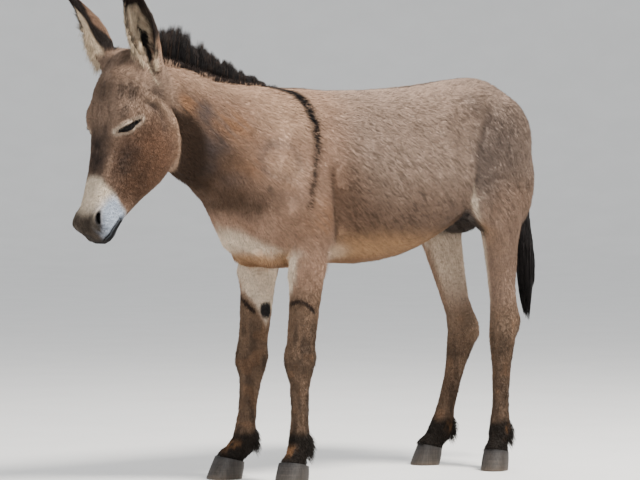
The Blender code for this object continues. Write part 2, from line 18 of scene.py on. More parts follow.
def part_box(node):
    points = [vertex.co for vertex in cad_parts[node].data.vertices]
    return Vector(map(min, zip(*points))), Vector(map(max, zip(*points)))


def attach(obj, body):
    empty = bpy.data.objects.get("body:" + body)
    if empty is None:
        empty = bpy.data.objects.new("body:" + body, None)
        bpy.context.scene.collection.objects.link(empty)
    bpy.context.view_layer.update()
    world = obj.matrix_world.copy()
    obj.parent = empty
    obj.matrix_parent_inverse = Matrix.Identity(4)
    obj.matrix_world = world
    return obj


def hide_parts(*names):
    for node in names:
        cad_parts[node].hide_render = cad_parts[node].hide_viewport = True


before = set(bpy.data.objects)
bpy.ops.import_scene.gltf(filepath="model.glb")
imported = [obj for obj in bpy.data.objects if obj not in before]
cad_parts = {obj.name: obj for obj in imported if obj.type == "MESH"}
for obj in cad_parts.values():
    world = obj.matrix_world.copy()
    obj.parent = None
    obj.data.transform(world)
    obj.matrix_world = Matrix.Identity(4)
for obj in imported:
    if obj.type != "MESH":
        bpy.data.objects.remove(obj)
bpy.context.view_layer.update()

# %% [markdown]
# ## Two sets of axes
# Anatomy is easier to write down from the animal than from the room. **Body axes** start under the
# withers, with x to the tail and y to the donkey's right. **Head axes** start between the ears: down the
# face, out of the forehead, and to the head's left. Both are found from the solids' boxes, so nothing
# has to be fitted by hand.

# %% Body axes and head axes
AHEAD_OF_BARREL = 0.115             # from the barrel's front up to the middle of the withers
WITHERS = np.array([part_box("barrel")[0].x - AHEAD_OF_BARREL, 0.0, 0.0])
HEAD_TILT = radians(20)             # of the face from the vertical
EYE_DOWN, EYE_OUT = 0.183, 0.036    # of the eyes on the head
EYE_RADIUS = 0.0205
FACE_LENGTH = 0.5


def middle(node):
    """The middle of a node's box."""
    low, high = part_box(node)
    return np.array((low + high) / 2)


def unit(v):
    """Directions made one long. The floor keeps a zero direction from dividing by zero."""
    return v / np.maximum(np.linalg.norm(v, axis=-1, keepdims=True), 1e-12)


UP = np.array([0.0, 0.0, 1.0])
EYES = {1: middle("eye_left"), -1: middle("eye_right")}
LEFT = unit((EYES[1] - EYES[-1]) * (1, 1, 0))
AHEAD = np.cross(LEFT, UP)
DOWN = sin(HEAD_TILT) * AHEAD - cos(HEAD_TILT) * UP
OUT = cos(HEAD_TILT) * AHEAD + sin(HEAD_TILT) * UP
HEAD_TOP = (EYES[1] + EYES[-1]) / 2 - DOWN * EYE_DOWN - OUT * EYE_OUT


def on_head(down, out, left):
    """A place in the room from its head axes."""
    return HEAD_TOP + DOWN * down + OUT * out + LEFT * left


def head_places(points):
    """Places in the head axes."""
    return (points - HEAD_TOP) @ np.array([DOWN, OUT, LEFT]).T


def folded_head(points):
    """Head places with the right side folded onto the left."""
    h = head_places(points)
    h[:, 2] = np.abs(h[:, 2])
    return h


def body_places(points):
    """Places in the body axes."""
    return points - WITHERS


print("between the ears:", HEAD_TOP.round(3), "nose:", on_head(FACE_LENGTH, 0, 0).round(3))

# %% [markdown]
# ## Small tools for soft forms
# A living surface has no hard steps, so every form and marking below is made of a few smooth
# functions: a step that eases in and out, a hump, a soft-edged blob, and the distance to a line.
# The noise is made of values on a lattice, blended between its corners, so that it is the same each run.

# %% Steps, humps, blobs, lines and noise
def step(value, low, high):
    """0 before low, 1 after high, easing between them."""
    t = np.clip((value - low) / (high - low), 0, 1)
    return t * t * (3 - 2 * t)


def hump(distance, width):
    """1 at no distance, falling off to both sides."""
    return np.exp(-(distance / width) ** 2)


def blob(points, centre, radii, soft=0.35):
    """1 inside an ellipsoid, 0 outside, with a soft edge."""
    r = np.linalg.norm((points - np.array(centre)) / np.array(radii), axis=1)
    return step(r, 1 + soft, 1 - soft)


def off_path(points, path):
    """Distance from each point to a line through a few places."""
    nearest = np.full(len(points), 1e9)
    for a, b in zip(np.array(path[:-1], float), np.array(path[1:], float)):
        run = b - a
        t = np.clip((points - a) @ run / (run @ run), 0, 1)
        nearest = np.minimum(nearest, np.linalg.norm(points - a - t[:, None] * run, axis=1))
    return nearest


def stroke(points, path):
    """How far outside a stroke of changing width a place is. path holds rows of x, y, z and half width."""
    path = np.array(path)
    at = np.linspace(0, len(path) - 1, 5 * len(path))
    best = np.full(len(points), 1.0)
    for mark in np.column_stack([np.interp(at, np.arange(len(path)), column) for column in path.T]):
        best = np.minimum(best, np.linalg.norm(points - mark[:3], axis=1) - mark[3])
    return best


def noise(points, size, seed=0):
    """Smooth noise from 0 to 1 with lumps of about this size, or of three sizes along x, y and z."""
    cell = points / np.array(size)
    base = np.floor(cell).astype(np.int64)
    part = cell - base
    part = part * part * (3 - 2 * part)
    total = np.zeros(len(points))
    for corner in np.ndindex(2, 2, 2):
        key = (base + corner) * (73856093, 19349663, 83492791)
        mixed = (key[:, 0] ^ key[:, 1] ^ key[:, 2] ^ (seed * 2654435761)) & 0xFFFFFFFF
        mixed = ((mixed ^ (mixed >> 13)) * 1274126177) & 0xFFFFFFFF
        value = ((mixed ^ (mixed >> 16)) & 0xFFFF) / 65535
        total += value * np.prod(np.where(corner, part, 1 - part), axis=1)
    return total


def mirrored(points):
    """The same places with the two sides folded onto the left one."""
    return points * (1, 0, 1) - np.abs(points) * (0, 1, 0)


print("a step, quarter by quarter:", step(np.array([0.25, 0.5, 0.75]), 0, 1))

# %% [markdown]
# ## Reading and writing meshes
# The finest steps move hundreds of thousands of vertices, so they are done on arrays and written back.

# %% Mesh helpers
def link(obj):
    bpy.context.scene.collection.objects.link(obj)
    return obj


def numbers(items, name, width):
    """One property of many mesh items, as rows of numbers."""
    found = np.empty(len(items) * width, np.float32)
    items.foreach_get(name, found)
    return found.reshape(-1, width).astype(float)


def triangles_of(mesh):
    mesh.calc_loop_triangles()
    found = np.empty(len(mesh.loop_triangles) * 3, np.int32)
    mesh.loop_triangles.foreach_get("vertices", found)
    return found.reshape(-1, 3)


def places(mesh):
    return numbers(mesh.vertices, "co", 3)


def normals(mesh):
    return numbers(mesh.vertices, "normal", 3)


def put_places(mesh, points):
    mesh.vertices.foreach_set("co", points.astype(np.float32).ravel())
    mesh.update()


def finished(obj, modifiers):
    """Applies modifiers, each a kind and its settings, and gives obj the mesh they make."""
    for kind, settings in modifiers:
        made = obj.modifiers.new(kind.lower(), kind)
        for name, value in settings.items():
            setattr(made, name, value)
    mesh = bpy.data.meshes.new_from_object(obj.evaluated_get(bpy.context.evaluated_depsgraph_get()))
    obj.modifiers.clear()
    obj.data = mesh
    return mesh


def weigh(obj, name, weight, levels):
    """A vertex group that holds a weight from 0 to 1 for each vertex, in so many levels."""
    group = obj.vertex_groups.new(name=name)
    rounded = np.round(weight * levels).astype(int)
    for level in range(levels + 1):
        group.add(np.flatnonzero(rounded == level).tolist(), level / levels, "REPLACE")


def new_mesh(name, bm):
    """A mesh made from a bmesh, which is freed."""
    mesh = bpy.data.meshes.new(name)
    bm.to_mesh(mesh)
    bm.free()
    return mesh


def joined_mesh(name, points, triangles):
    """One mesh from arrays of points and triangles."""
    mesh = bpy.data.meshes.new(name)
    mesh.vertices.add(len(points))
    mesh.vertices.foreach_set("co", points.astype(np.float32).ravel())
    mesh.loops.add(triangles.size)
    mesh.loops.foreach_set("vertex_index", triangles.astype(np.int32).ravel())
    mesh.polygons.add(len(triangles))
    mesh.polygons.foreach_set("loop_start", np.arange(0, triangles.size, 3, dtype=np.int32))
    mesh.polygons.foreach_set("use_smooth", np.ones(len(triangles), bool))
    mesh.update(calc_edges=True)
    return mesh


def paint(mesh, colours):
    """Writes one colour for each vertex, which the materials read by name."""
    layer = mesh.color_attributes.new("coat_colour", "FLOAT_COLOR", "POINT")
    rgba = np.ones((len(colours), 4), np.float32)
    rgba[:, :3] = colours
    layer.data.foreach_set("color", rgba.ravel())


print(len(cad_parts), "solids to work from")

# %% [markdown]
# ## One skin
# A real hide has no seams, but the solids are parted at the neck, the legs and the ears. Copies of the
# flesh are joined and remeshed as one closed surface with a 3 mm grain, which closes the thin cuts.
# The facets of the solids are then relaxed away: strongly on the trunk, where they are large, and
# lightly on the legs, the head and the thin ears. The eyeballs go in too, so that lids can be carved
# where the sockets were.

# %% Join and remesh the flesh
NOT_FLESH = ("eye_left", "eye_right", "mane", "tail_switch")
FLESH = [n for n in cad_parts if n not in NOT_FLESH and not n.endswith("_hoof")]
GRAIN = 0.003
# how far each part is grown while it is remeshed: the ears' thin walls most
EAR_GROWN, FLESH_GROWN, EYE_GROWN = 0.0008, 0.0004, 0.0010


def copy_of(node, grown=0.0):
    """A merged copy of a node's mesh, with every vertex pushed out a little."""
    bm = bmesh.new()
    bm.from_mesh(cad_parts[node].data)
    bmesh.ops.remove_doubles(bm, verts=bm.verts[:], dist=1e-5)
    bm.normal_update()
    for v in bm.verts:
        v.co += v.normal * grown
    return new_mesh("copy", bm)


def joined_flesh():
    bm = bmesh.new()
    for node in FLESH:
        bm.from_mesh(copy_of(node, EAR_GROWN if node.startswith("ear") else FLESH_GROWN))
    for node in ("eye_left", "eye_right"):
        bm.from_mesh(copy_of(node, EYE_GROWN))
    return link(bpy.data.objects.new("skin", new_mesh("skin", bm)))


skin = joined_flesh()
mesh = finished(skin, [("REMESH", {"mode": "VOXEL", "voxel_size": GRAIN, "adaptivity": 0.0})])
print("remeshed skin:", len(mesh.vertices), "vertices")

# %% [markdown]
# ## Where is an ear, where is a leg?
# Later steps need to know what part of the animal a point is on. The ears have axes of their own: along
# the ear, across it, and the way its hollow faces.

# %% Regions
EARS = {
    1: {"base": (-0.022, 0.018, 0.060), "tip": (-0.40, -0.14, 0.91), "faces": (-0.62, -0.78, 0.0)},
    -1: {"base": (-0.006, 0.066, -0.072), "tip": (-0.16, 0.54, 0.82), "faces": (-0.70, 0.70, 0.0)},
}
EAR_LENGTH = 0.255
# reach along the ear, its radius and half the angle that its wall goes round
EAR_SHAPE = np.array([
    (-0.035, 0.026, 165), (0.0, 0.030, 155), (0.035, 0.034, 138), (0.075, 0.0385, 118),
    (0.115, 0.037, 104), (0.155, 0.029, 96), (0.195, 0.0205, 90), (0.230, 0.012, 86), (0.255, 0.0045, 80),
])


def ear_places(points, side):
    """Along one ear from its base, round it from -1 to 1 at its edges, and the radius share."""
    form = EARS[side]
    tip = unit(np.array(form["tip"]))
    faces = np.array(form["faces"])
    faces = unit(faces - tip * (faces @ tip))
    across = np.cross(tip, faces)
    q = points - on_head(*form["base"])
    reach = q @ tip
    share = np.clip(reach, 0, None) / EAR_LENGTH
    front = q @ faces - 0.020 * share ** 2
    angle = np.degrees(np.arctan2(q @ across, -front))
    arc = np.interp(reach, EAR_SHAPE[:, 0], EAR_SHAPE[:, 2])
    radius = np.interp(reach, EAR_SHAPE[:, 0], EAR_SHAPE[:, 1])
    off = np.hypot(q @ across, front)
    return reach, angle / arc, off / radius, tip, faces, across


def ear_share(points):
    """1 on the free part of the ears, 0 on the head."""
    share = np.zeros(len(points))
    for side in EARS:
        reach, _, off, *_ = ear_places(points, side)
        share = np.maximum(share, step(reach, -0.004, 0.022) * step(off, 1.7, 1.35) * (reach < 0.28))
    return share


def head_share(points):
    """1 on the head, 0 behind the jaw and the poll."""
    p = body_places(points)
    return step((p - (-0.425, -0.04, 1.04)) @ unit(np.array([-1, -0.105, -0.19])), -0.035, 0.02)


def leg_share(points):
    """1 low on the legs, 0 on the trunk."""
    z = points[:, 2]
    return step(z, 0.66, 0.56) * (1 - head_share(points))


print("ears", EAR_LENGTH, "m long")

# %% [markdown]
# ## Relaxing the facets
# The solids are faceted, and a hide isn't. `Smooth` moves each vertex towards its neighbours, and a vertex
# group says how much: all of it on the trunk, half on the head and legs, and little on the ears, which
# would shrink.

# %% Relax the facets
def relaxed(obj, weight, rounds):
    """Smooths a mesh, with a weight from 0 to 1 for each vertex."""
    obj.vertex_groups.clear()
    weigh(obj, "relax", weight, 10)
    return finished(obj, [("SMOOTH", {"factor": 0.5, "iterations": rounds, "vertex_group": "relax"})])


points = places(mesh)
on_ear, on_face, on_leg = ear_share(points), head_share(points), leg_share(points)
upper_leg = step(points[:, 2], 0.70, 0.60)
on_tail = step(body_places(points)[:, 0], 0.85, 0.875)
trunk = (1 - on_face) * (1 - on_leg) * (1 - on_tail)
mesh = relaxed(skin, np.clip(1 - 0.75 * on_ear, 0, 1), 6)
mesh = relaxed(skin, np.clip((1 - on_ear) * (0.55 + 0.45 * trunk), 0, 1), 12)
mesh = relaxed(skin, trunk * (1 - upper_leg), 150)
thigh_top = blob(mirrored(body_places(places(mesh))), (0.68, -0.17, 0.86), (0.13, 0.10, 0.08), 0.3)
mesh = relaxed(skin, thigh_top, 200)
print("relaxed over the trunk, the head and the legs")

# %% [markdown]
# ## The coat's depth
# The solids reach to the tips of the coat, so the skin lies inside them by the coat's depth: about 6 mm
# on the trunk, 3 mm on the legs and 2 mm on the face. The ears keep nearly all their thickness.

# %% Set the skin in by the coat's depth
TRUNK_DEPTH, LEG_DEPTH_LESS, FACE_DEPTH, EAR_DEPTH = 0.0058, 0.0026, 0.0022, 0.0006


def coat_depth(points):
    depth = TRUNK_DEPTH - LEG_DEPTH_LESS * leg_share(points)
    depth -= (depth - FACE_DEPTH) * head_share(points)
    return depth - (depth - EAR_DEPTH) * ear_share(points)


points = places(mesh) - normals(mesh) * coat_depth(places(mesh))[:, None]
put_places(mesh, points)
print("the skin lies up to", TRUNK_DEPTH, "m in")

# %% [markdown]
# ## Finer grain where the face needs it
# Lids, nostrils and lips are carved below, and need a grain of about a millimetre. `subdivide_edges`
# splits only the edges round those places, twice round the eyes.

# %% Refine the eyes, the nostrils and the mouth
NOSTRIL = (0.449, 0.030, 0.046)
MUZZLE_DOWN = 0.39                  # where the muzzle starts, down the face


def refine(mesh, inside):
    """Splits every edge whose ends are both inside."""
    bm = bmesh.new()
    bm.from_mesh(mesh)
    bm.verts.ensure_lookup_table()
    edges = [e for e in bm.edges if inside[e.verts[0].index] and inside[e.verts[1].index]]
    bmesh.ops.subdivide_edges(bm, edges=edges, cuts=1, use_grid_fill=True)
    bm.to_mesh(mesh)
    bm.free()
    return len(edges)


def near_eyes(points, reach):
    return np.minimum(*(np.linalg.norm(points - EYES[s], axis=1) for s in EYES)) < reach


points = places(mesh)
muzzle = head_places(points)[:, 0] > MUZZLE_DOWN
print("split", refine(mesh, near_eyes(points, 0.052) | muzzle), "edges")
print("split", refine(mesh, near_eyes(places(mesh), 0.039)), "edges")

# %% [markdown]
# ## Carving the head
# Each form is a small function that moves the skin along its own normal or along one of the head's
# axes. The lids are the most exact: outside the opening the skin wraps the eyeball as a shell 2.6 mm
# thick, and inside it the skin dives behind the ball, so that the eye shows between two real edges.

# %% Lids
LID = 0.0026
SLIT_TILT = radians(41)     # of the opening, from straight down the face towards its front
SLIT_TURN = radians(22)     # of its inner corner round the front of the head
SLIT_FRONT, SLIT_REAR = 0.0320, 0.0480      # to the inner and to the outer corner
UPPER_RISE, LOWER_RISE = 0.0084, 0.0050
# how far a fold stands out, how far outside the slit it is, its width, its lid, its middle and half length
LID_FOLDS = [
    (-0.0022, 0.0078, 0.0022, "upper", 0.0, 0.024), (0.0014, 0.0125, 0.0035, "upper", 0.0, 0.026),
    (-0.0012, 0.0190, 0.0022, "upper", 0.004, 0.020), (-0.0013, 0.0070, 0.0022, "lower", 0.0, 0.022),
    (0.0010, 0.0110, 0.0030, "lower", 0.0, 0.022),
]


def eye_axes(side):
    """Along the opening to its inner corner, up across it, and straight out of it."""
    turn = LEFT * side
    along_face = cos(SLIT_TILT) * DOWN + sin(SLIT_TILT) * OUT
    along = cos(SLIT_TURN) * along_face - sin(SLIT_TURN) * turn
    outward = sin(SLIT_TURN) * along_face + cos(SLIT_TURN) * turn
    above = -sin(SLIT_TILT) * DOWN + cos(SLIT_TILT) * OUT
    return along, above, outward


def slit_places(points, side):
    """Places on one eye: along and above its opening, out of it, and how far outside the slit."""
    along, above, outward = eye_axes(side)
    q = points - EYES[side]
    u, v, w = q @ along, q @ above, q @ outward
    end = np.where(u > 0, SLIT_FRONT, SLIT_REAR)
    share = np.clip(1 - (u / end) ** 2, 0, 1)
    rise = np.where(v > 0, UPPER_RISE, LOWER_RISE) * share
    edge = np.where(np.abs(u) < end, np.abs(v) - rise, np.hypot(np.abs(u) - end, v))
    return u, v, w, edge


def carve_lids(points):
    """Wraps the skin over each eyeball, and opens the slit between the lids."""
    for side in EYES:
        u, v, w, edge = slit_places(points, side)
        outward = eye_axes(side)[2]
        flat = np.hypot(u, v)
        near = (flat < 0.052) & (w > -0.030)
        shell = EYE_RADIUS + LID
        dome = np.sqrt(np.clip(shell ** 2 - flat ** 2, 0, None))
        level = np.where(flat < shell * 0.97, np.maximum(w, dome), w)
        sink = np.maximum(w - dome, 0) * hump(flat, 0.024)
        level = level - 0.8 * sink
        level += 0.0016 * hump(edge - 0.0016, 0.0022)
        for height, away, width, lid, centre, length in LID_FOLDS:
            here = v > 0 if lid == "upper" else v <= 0
            level += height * hump(edge - away, width) * here * hump(u - centre, length)
        ball = np.sqrt(np.clip((EYE_RADIUS - 0.0045) ** 2 - flat ** 2, 0, None))
        floor = np.where(flat < EYE_RADIUS - 0.003, ball, level - 0.0045)
        level = np.where(edge < 0, floor + (level - floor) * step(edge, -0.0012, 0.0), level)
        fade = step(flat, 0.052, 0.040)
        points = np.where(near[:, None], points + ((level - w) * fade)[:, None] * outward, points)
    return points


print("each opening is", SLIT_FRONT + SLIT_REAR, "m long")

# %% [markdown]
# The nostril is a comma: a slit along the face that curls in behind a soft wing. The mouth is a groove
# round the front of the muzzle, with a full upper lip over a smaller lower one.

# %% Nostrils and mouth
NOSTRIL_LONG, NOSTRIL_WIDE, NOSTRIL_BEND = 0.0165, 0.0056, 12.0     # half lengths, and how it curls
NOSTRIL_DEEP = 0.015
# the mouth's line, from the front: how far down the head, and how far out of the forehead
MOUTH = [(0.500, -0.026), (0.487, -0.021), (0.463, -0.024), (0.435, -0.036), (0.421, -0.043)]


def mouth_places(points):
    """How far above or below the mouth's line a point is, and how far along it."""
    h = head_places(points)
    line = np.array(MOUTH)[::-1]
    return h[:, 1] - np.interp(h[:, 0], line[:, 0], line[:, 1]), step(h[:, 0], 0.415, 0.432)


def nostril_axes(side):
    """Along the nostril, across it to the front, and the way it opens."""
    out = unit(DOWN * 0.22 + OUT * 0.60 + LEFT * side * 0.77)
    along = DOWN * 0.95 - OUT * 0.30 + LEFT * side * 0.05
    along = unit(along - out * (along @ out))
    return along, np.cross(out, along) * side, out


def nostril_places(points):
    """Along and across the nearer nostril in its own half lengths, its side, and the distance to it."""
    side = np.where(head_places(points)[:, 2] > 0, 1, -1)
    along, across, off = (np.zeros(len(points)) for _ in range(3))
    for which in (1, -1):
        mine = side == which
        q = points[mine] - on_head(NOSTRIL[0], NOSTRIL[1], NOSTRIL[2] * which)
        a, c, _ = nostril_axes(which)
        along[mine] = q @ a
        across[mine] = q @ c - NOSTRIL_BEND * (q @ a) ** 2
        off[mine] = np.linalg.norm(q, axis=1)
    return along / NOSTRIL_LONG, across / NOSTRIL_WIDE, off, side


def nostril_hole(points):
    """1 inside the nostrils' openings."""
    along, across, off, _ = nostril_places(points)
    return step(np.sqrt(along ** 4 + across ** 2), 1.12, 0.62) * (off < 0.035)


def carve_muzzle(points, outward):
    """Nostrils with a raised rear rim, the mouth's groove, and fuller lips."""
    along, across, off, side = nostril_places(points)
    into = np.where(side[:, None] > 0, nostril_axes(1)[2], nostril_axes(-1)[2])
    inner = into + DOWN * 0.45
    hole = nostril_hole(points)
    rim = hump(np.hypot(along * 0.9, across) - 1.75, 0.60) * (off < 0.05)
    rear = step(across, 0.8, -0.8)
    moved = (0.0010 + 0.0030 * rear) * rim
    gap, share = mouth_places(points)
    moved += share * (-0.0060 * hump(gap, 0.0020) + 0.0016 * hump(gap - 0.009, 0.006)
                      + 0.0012 * hump(gap + 0.009, 0.006))
    h = head_places(points)
    moved += 0.0095 * hump(np.linalg.norm((h - (0.482, 0.013, -0.006)) * (1, 1, 0.6), axis=1), 0.022)
    fold = np.hypot((h[:, 0] - 0.414) / 0.8, h[:, 1] + 0.044)
    moved -= 0.0020 * hump(fold - 0.012, 0.003) * (h[:, 0] < 0.43)
    return points + outward * moved[:, None] - inner * NOSTRIL_DEEP * hole[:, None]


print("each nostril is", 2 * NOSTRIL_LONG, "m long")

# %% [markdown]
# The head's bones show under thin skin. Each ridge or hollow is a line through a few places in the head
# axes, and a stroke of changing width draws the slot and the strips of hair at the foot of the ear.

# %% The bones of the face, and the foot of the ear
# the dark slot low in the ear, the pale edge of hair before it, and the strips behind it: each row is
# down, out and aside on the head, and the half width there
EAR_SLOT = [(-0.077, 0.042, 0.043, 0.006), (-0.064, 0.033, 0.045, 0.010), (-0.050, 0.042, 0.064, 0.011),
            (-0.036, 0.041, 0.074, 0.011), (-0.024, 0.038, 0.079, 0.010), (-0.007, 0.034, 0.083, 0.007),
            (0.009, 0.009, 0.079, 0.005), (0.019, -0.010, 0.077, 0.0035), (0.028, -0.022, 0.076, 0.0015)]
EAR_EDGE = [(-0.030, 0.066, 0.060, 0.003), (-0.004, 0.044, 0.082, 0.0035), (0.013, 0.012, 0.077, 0.004),
            (0.033, -0.014, 0.078, 0.003), (0.047, -0.038, 0.078, 0.001)]
EAR_STRIP = [(-0.037, 0.030, 0.099, 0.004), (-0.012, 0.016, 0.090, 0.008), (0.002, 0.006, 0.086, 0.007),
             (0.020, -0.010, 0.079, 0.002)]
EAR_SHADE = [(-0.056, 0.036, 0.099, 0.003), (-0.040, 0.029, 0.097, 0.006), (-0.022, 0.018, 0.092, 0.003)]

# the rear edge of the cheek on the head: how far down, and how far out of the forehead
JAW_LINE = np.array([(0.055, -0.066), (0.076, -0.078), (0.088, -0.100), (0.102, -0.120), (0.122, -0.138),
                     (0.149, -0.161), (0.178, -0.179), (0.205, -0.195), (0.229, -0.209)])
# the ridge that arches from over the eye to that edge, with a painted highlight along it, and the hollow
# inside it, with painted shade
ARCH = [(0.085, 0.014, 0.083), (0.081, -0.026, 0.082), (0.090, -0.064, 0.080), (0.104, -0.090, 0.077),
        (0.124, -0.120, 0.071)]
UNDER_ARCH = [(0.100, 0.000, 0.085), (0.108, -0.050, 0.084), (0.128, -0.069, 0.085), (0.150, -0.082, 0.084)]


def behind_jaw(h):
    """How far behind the cheek's rear edge a place on the head is, and 1 where that edge runs."""
    behind = np.interp(h[:, 0], JAW_LINE[:, 0], JAW_LINE[:, 1]) - h[:, 1]
    return behind, step(h[:, 0], 0.078, 0.105) * step(h[:, 0], 0.265, 0.225)


# ridges and hollows of the face as (down, out, aside) places, the half width, and how far they stand out
FACE_FORMS = [
    ([(0.215, 0.018, 0.082), (0.265, 0.012, 0.074), (0.315, 0.006, 0.062)], 0.014, 0.0035),
    (ARCH, 0.012, 0.0038),
    (UNDER_ARCH, 0.011, -0.0038),
    ([(0.085, 0.045, 0.060), (0.060, 0.020, 0.062)], 0.020, -0.0060),
    ([(0.212, 0.050, 0.066), (0.262, 0.046, 0.050)], 0.007, -0.0016),
    ([(0.315, 0.030, 0.040), (0.385, 0.022, 0.046)], 0.016, -0.0030),
    ([(0.300, -0.045, 0.060), (0.375, -0.045, 0.050)], 0.012, -0.0030),
    ([(0.300, -0.095, 0.045), (0.190, -0.155, 0.050)], 0.014, 0.0030),
]


def carve_face(points, outward):
    """The face's ridges and hollows, the cheek's rear edge, and the foot of the ear."""
    h = folded_head(points)
    moved = np.zeros(len(points))
    for path, width, height in FACE_FORMS:
        moved += height * hump(off_path(h, path), width)
    moved += 0.0012 * (noise(points, 0.016, 5) - 0.5) * step(h[:, 0], 0.36, 0.42)
    behind, along = behind_jaw(h)
    sides = along * step(h[:, 2], 0.015, 0.040)
    moved += sides * (0.0045 * hump(behind + 0.014, 0.012) - 0.0085 * hump(behind - 0.010, 0.012))
    moved -= 0.0060 * step(stroke(h, EAR_SLOT), 0.003, -0.006)
    moved += 0.0015 * step(stroke(h, EAR_EDGE), 0.003, -0.003)
    return points + outward * (moved * (1 - ear_share(points)))[:, None]


print(len(FACE_FORMS), "ridges and hollows on each side of the face")

# %% [markdown]
# ## Carving the body
# Under a short coat the big bones and muscles show as soft ridges and hollows: the shoulder blade, the
# groove behind it, the windpipe's groove on the neck, the last ribs, the hollow of the flank, the point
# of the hip, and the split between the muscles of the thigh. Each is a line seen from the side.

# %% Muscles, ribs and tendons
# a line on the flank as (x, z) places, its half width, and how far it stands out or in
SIDE_FORMS = [
    ([(-0.02, 1.07), (-0.075, 0.94), (-0.135, 0.82)], 0.024, 0.0045),
    ([(0.062, 1.02), (0.068, 0.90), (0.080, 0.80)], 0.024, -0.0035),
    ([(0.074, 0.900), (0.077, 0.854), (0.084, 0.768), (0.102, 0.685)], 0.018, -0.0060),
    ([(0.030, 0.790), (0.045, 0.720)], 0.032, 0.0070),
    ([(-0.095, 1.03), (-0.150, 0.92)], 0.022, -0.0030),
    ([(0.010, 0.80), (0.050, 0.70)], 0.034, 0.0050),
    ([(-0.165, 0.80), (-0.155, 0.77)], 0.032, 0.0050),
    ([(-0.415, 0.965), (-0.310, 0.870), (-0.215, 0.800)], 0.024, -0.0050),
    ([(-0.390, 1.040), (-0.260, 0.965), (-0.180, 0.900)], 0.040, 0.0035),
    ([(0.545, 1.045), (0.560, 0.960)], 0.040, -0.0080),
    ([(0.600, 1.085), (0.612, 1.070)], 0.032, 0.0060),
    ([(0.650, 1.075), (0.611, 0.970), (0.584, 0.896), (0.589, 0.835)], 0.022, -0.0045),
    ([(0.690, 1.050), (0.660, 0.970), (0.640, 0.890), (0.640, 0.820)], 0.034, 0.0040),
    ([(0.820, 1.02), (0.795, 0.86), (0.752, 0.70)], 0.024, -0.0030),
    ([(0.740, 1.00), (0.720, 0.86), (0.690, 0.72)], 0.050, 0.0040),
    ([(0.620, 0.70), (0.655, 0.62)], 0.030, 0.0035),
    ([(0.130, 0.68), (0.30, 0.665), (0.45, 0.70)], 0.018, -0.0020),
]
# folds of the chest as (x, y, z) places on the left side
CHEST_FOLDS = [
    ([(-0.262, 0.0, 0.800), (-0.225, -0.048, 0.769), (-0.177, -0.074, 0.738), (-0.150, -0.085, 0.722)],
     0.009, -0.0050),
    ([(-0.175, -0.020, 0.676), (-0.158, -0.036, 0.665), (-0.110, -0.050, 0.640), (-0.073, -0.053, 0.616)],
     0.008, -0.0050),
]
RIB_PITCH = 0.052


def carve_body(points, outward):
    """Muscle lines, ribs and the folds of the chest."""
    p = body_places(points)
    flat = p * (1, 0, 1)
    sideways = step(np.abs(outward[:, 1]), 0.25, 0.7) * (1 - head_share(points))
    upper = step(p[:, 2], 0.56, 0.64)
    moved = np.zeros(len(points))
    for path, width, height in SIDE_FORMS:
        moved += height * hump(off_path(flat, [(x, 0, z) for x, z in path]), width) * upper
    ribs = np.sin((p[:, 0] + 0.22 * (p[:, 2] - 0.9)) * 2 * np.pi / RIB_PITCH)
    cage = blob(p, (0.34, 0, 0.88), (0.20, 0.5, 0.15), 0.5)
    moved += 0.0011 * ribs * cage
    moved += 0.0030 * (noise(points, 0.055, 3) - 0.5) * upper
    moved *= sideways
    for path, width, height in CHEST_FOLDS:
        moved += height * hump(off_path(mirrored(p), path), width)
    return points + outward * moved[:, None]


def carve_legs(points, outward):
    """Tendon grooves, knees, the fronts of the forearms' tops and the hollow behind the thigh."""
    p = body_places(points)
    low = step(p[:, 2], 0.60, 0.52) * (1 - head_share(points))
    moved = 0.0014 * (noise(points, 0.022, 9) - 0.5) * low
    fore = p[:, 0] < 0.3
    sideways = step(np.abs(outward[:, 1]), 0.3, 0.8)
    axis = np.where(fore, -0.020 - 0.02 * (p[:, 1] > 0), np.where(p[:, 1] > 0, 0.700, 0.722))
    shin = step(p[:, 2], 0.14, 0.17) * step(p[:, 2], 0.33, 0.29)
    moved -= 0.0030 * hump(p[:, 0] - axis - 0.008, 0.0065) * sideways * shin
    forward = step(-outward[:, 0], 0.2, 0.8)
    moved += 0.0012 * fore * forward * hump(p[:, 2] - 0.372, 0.030)
    for side in (-1, 1):
        moved += 0.016 * hump(np.linalg.norm(p - (-0.070, 0.122 * side, 0.612), axis=1), 0.040)
    moved -= 0.014 * blob(mirrored(p), (0.845, -0.14, 0.870), (0.055, 0.08, 0.085), 0.8)
    return points + outward * moved[:, None]


print(len(SIDE_FORMS), "lines of muscle and bone on each side")

# %% [markdown]
# Each form starts from the normals that the one before it left. The thin edges of the lids come last.

# %% Carve them all
for carve in (carve_body, carve_legs, carve_face, carve_muzzle):
    points = carve(places(mesh), normals(mesh))
    put_places(mesh, points)
put_places(mesh, carve_lids(places(mesh)))
print("carved the body, the legs and the head")

# %% [markdown]
# ## A lighter mesh with the detail kept
# The even grain wastes faces on the flank. `Decimate` collapses edges that carry little shape, and a
# weight keeps it away from the lids, nostrils, lips and ears.

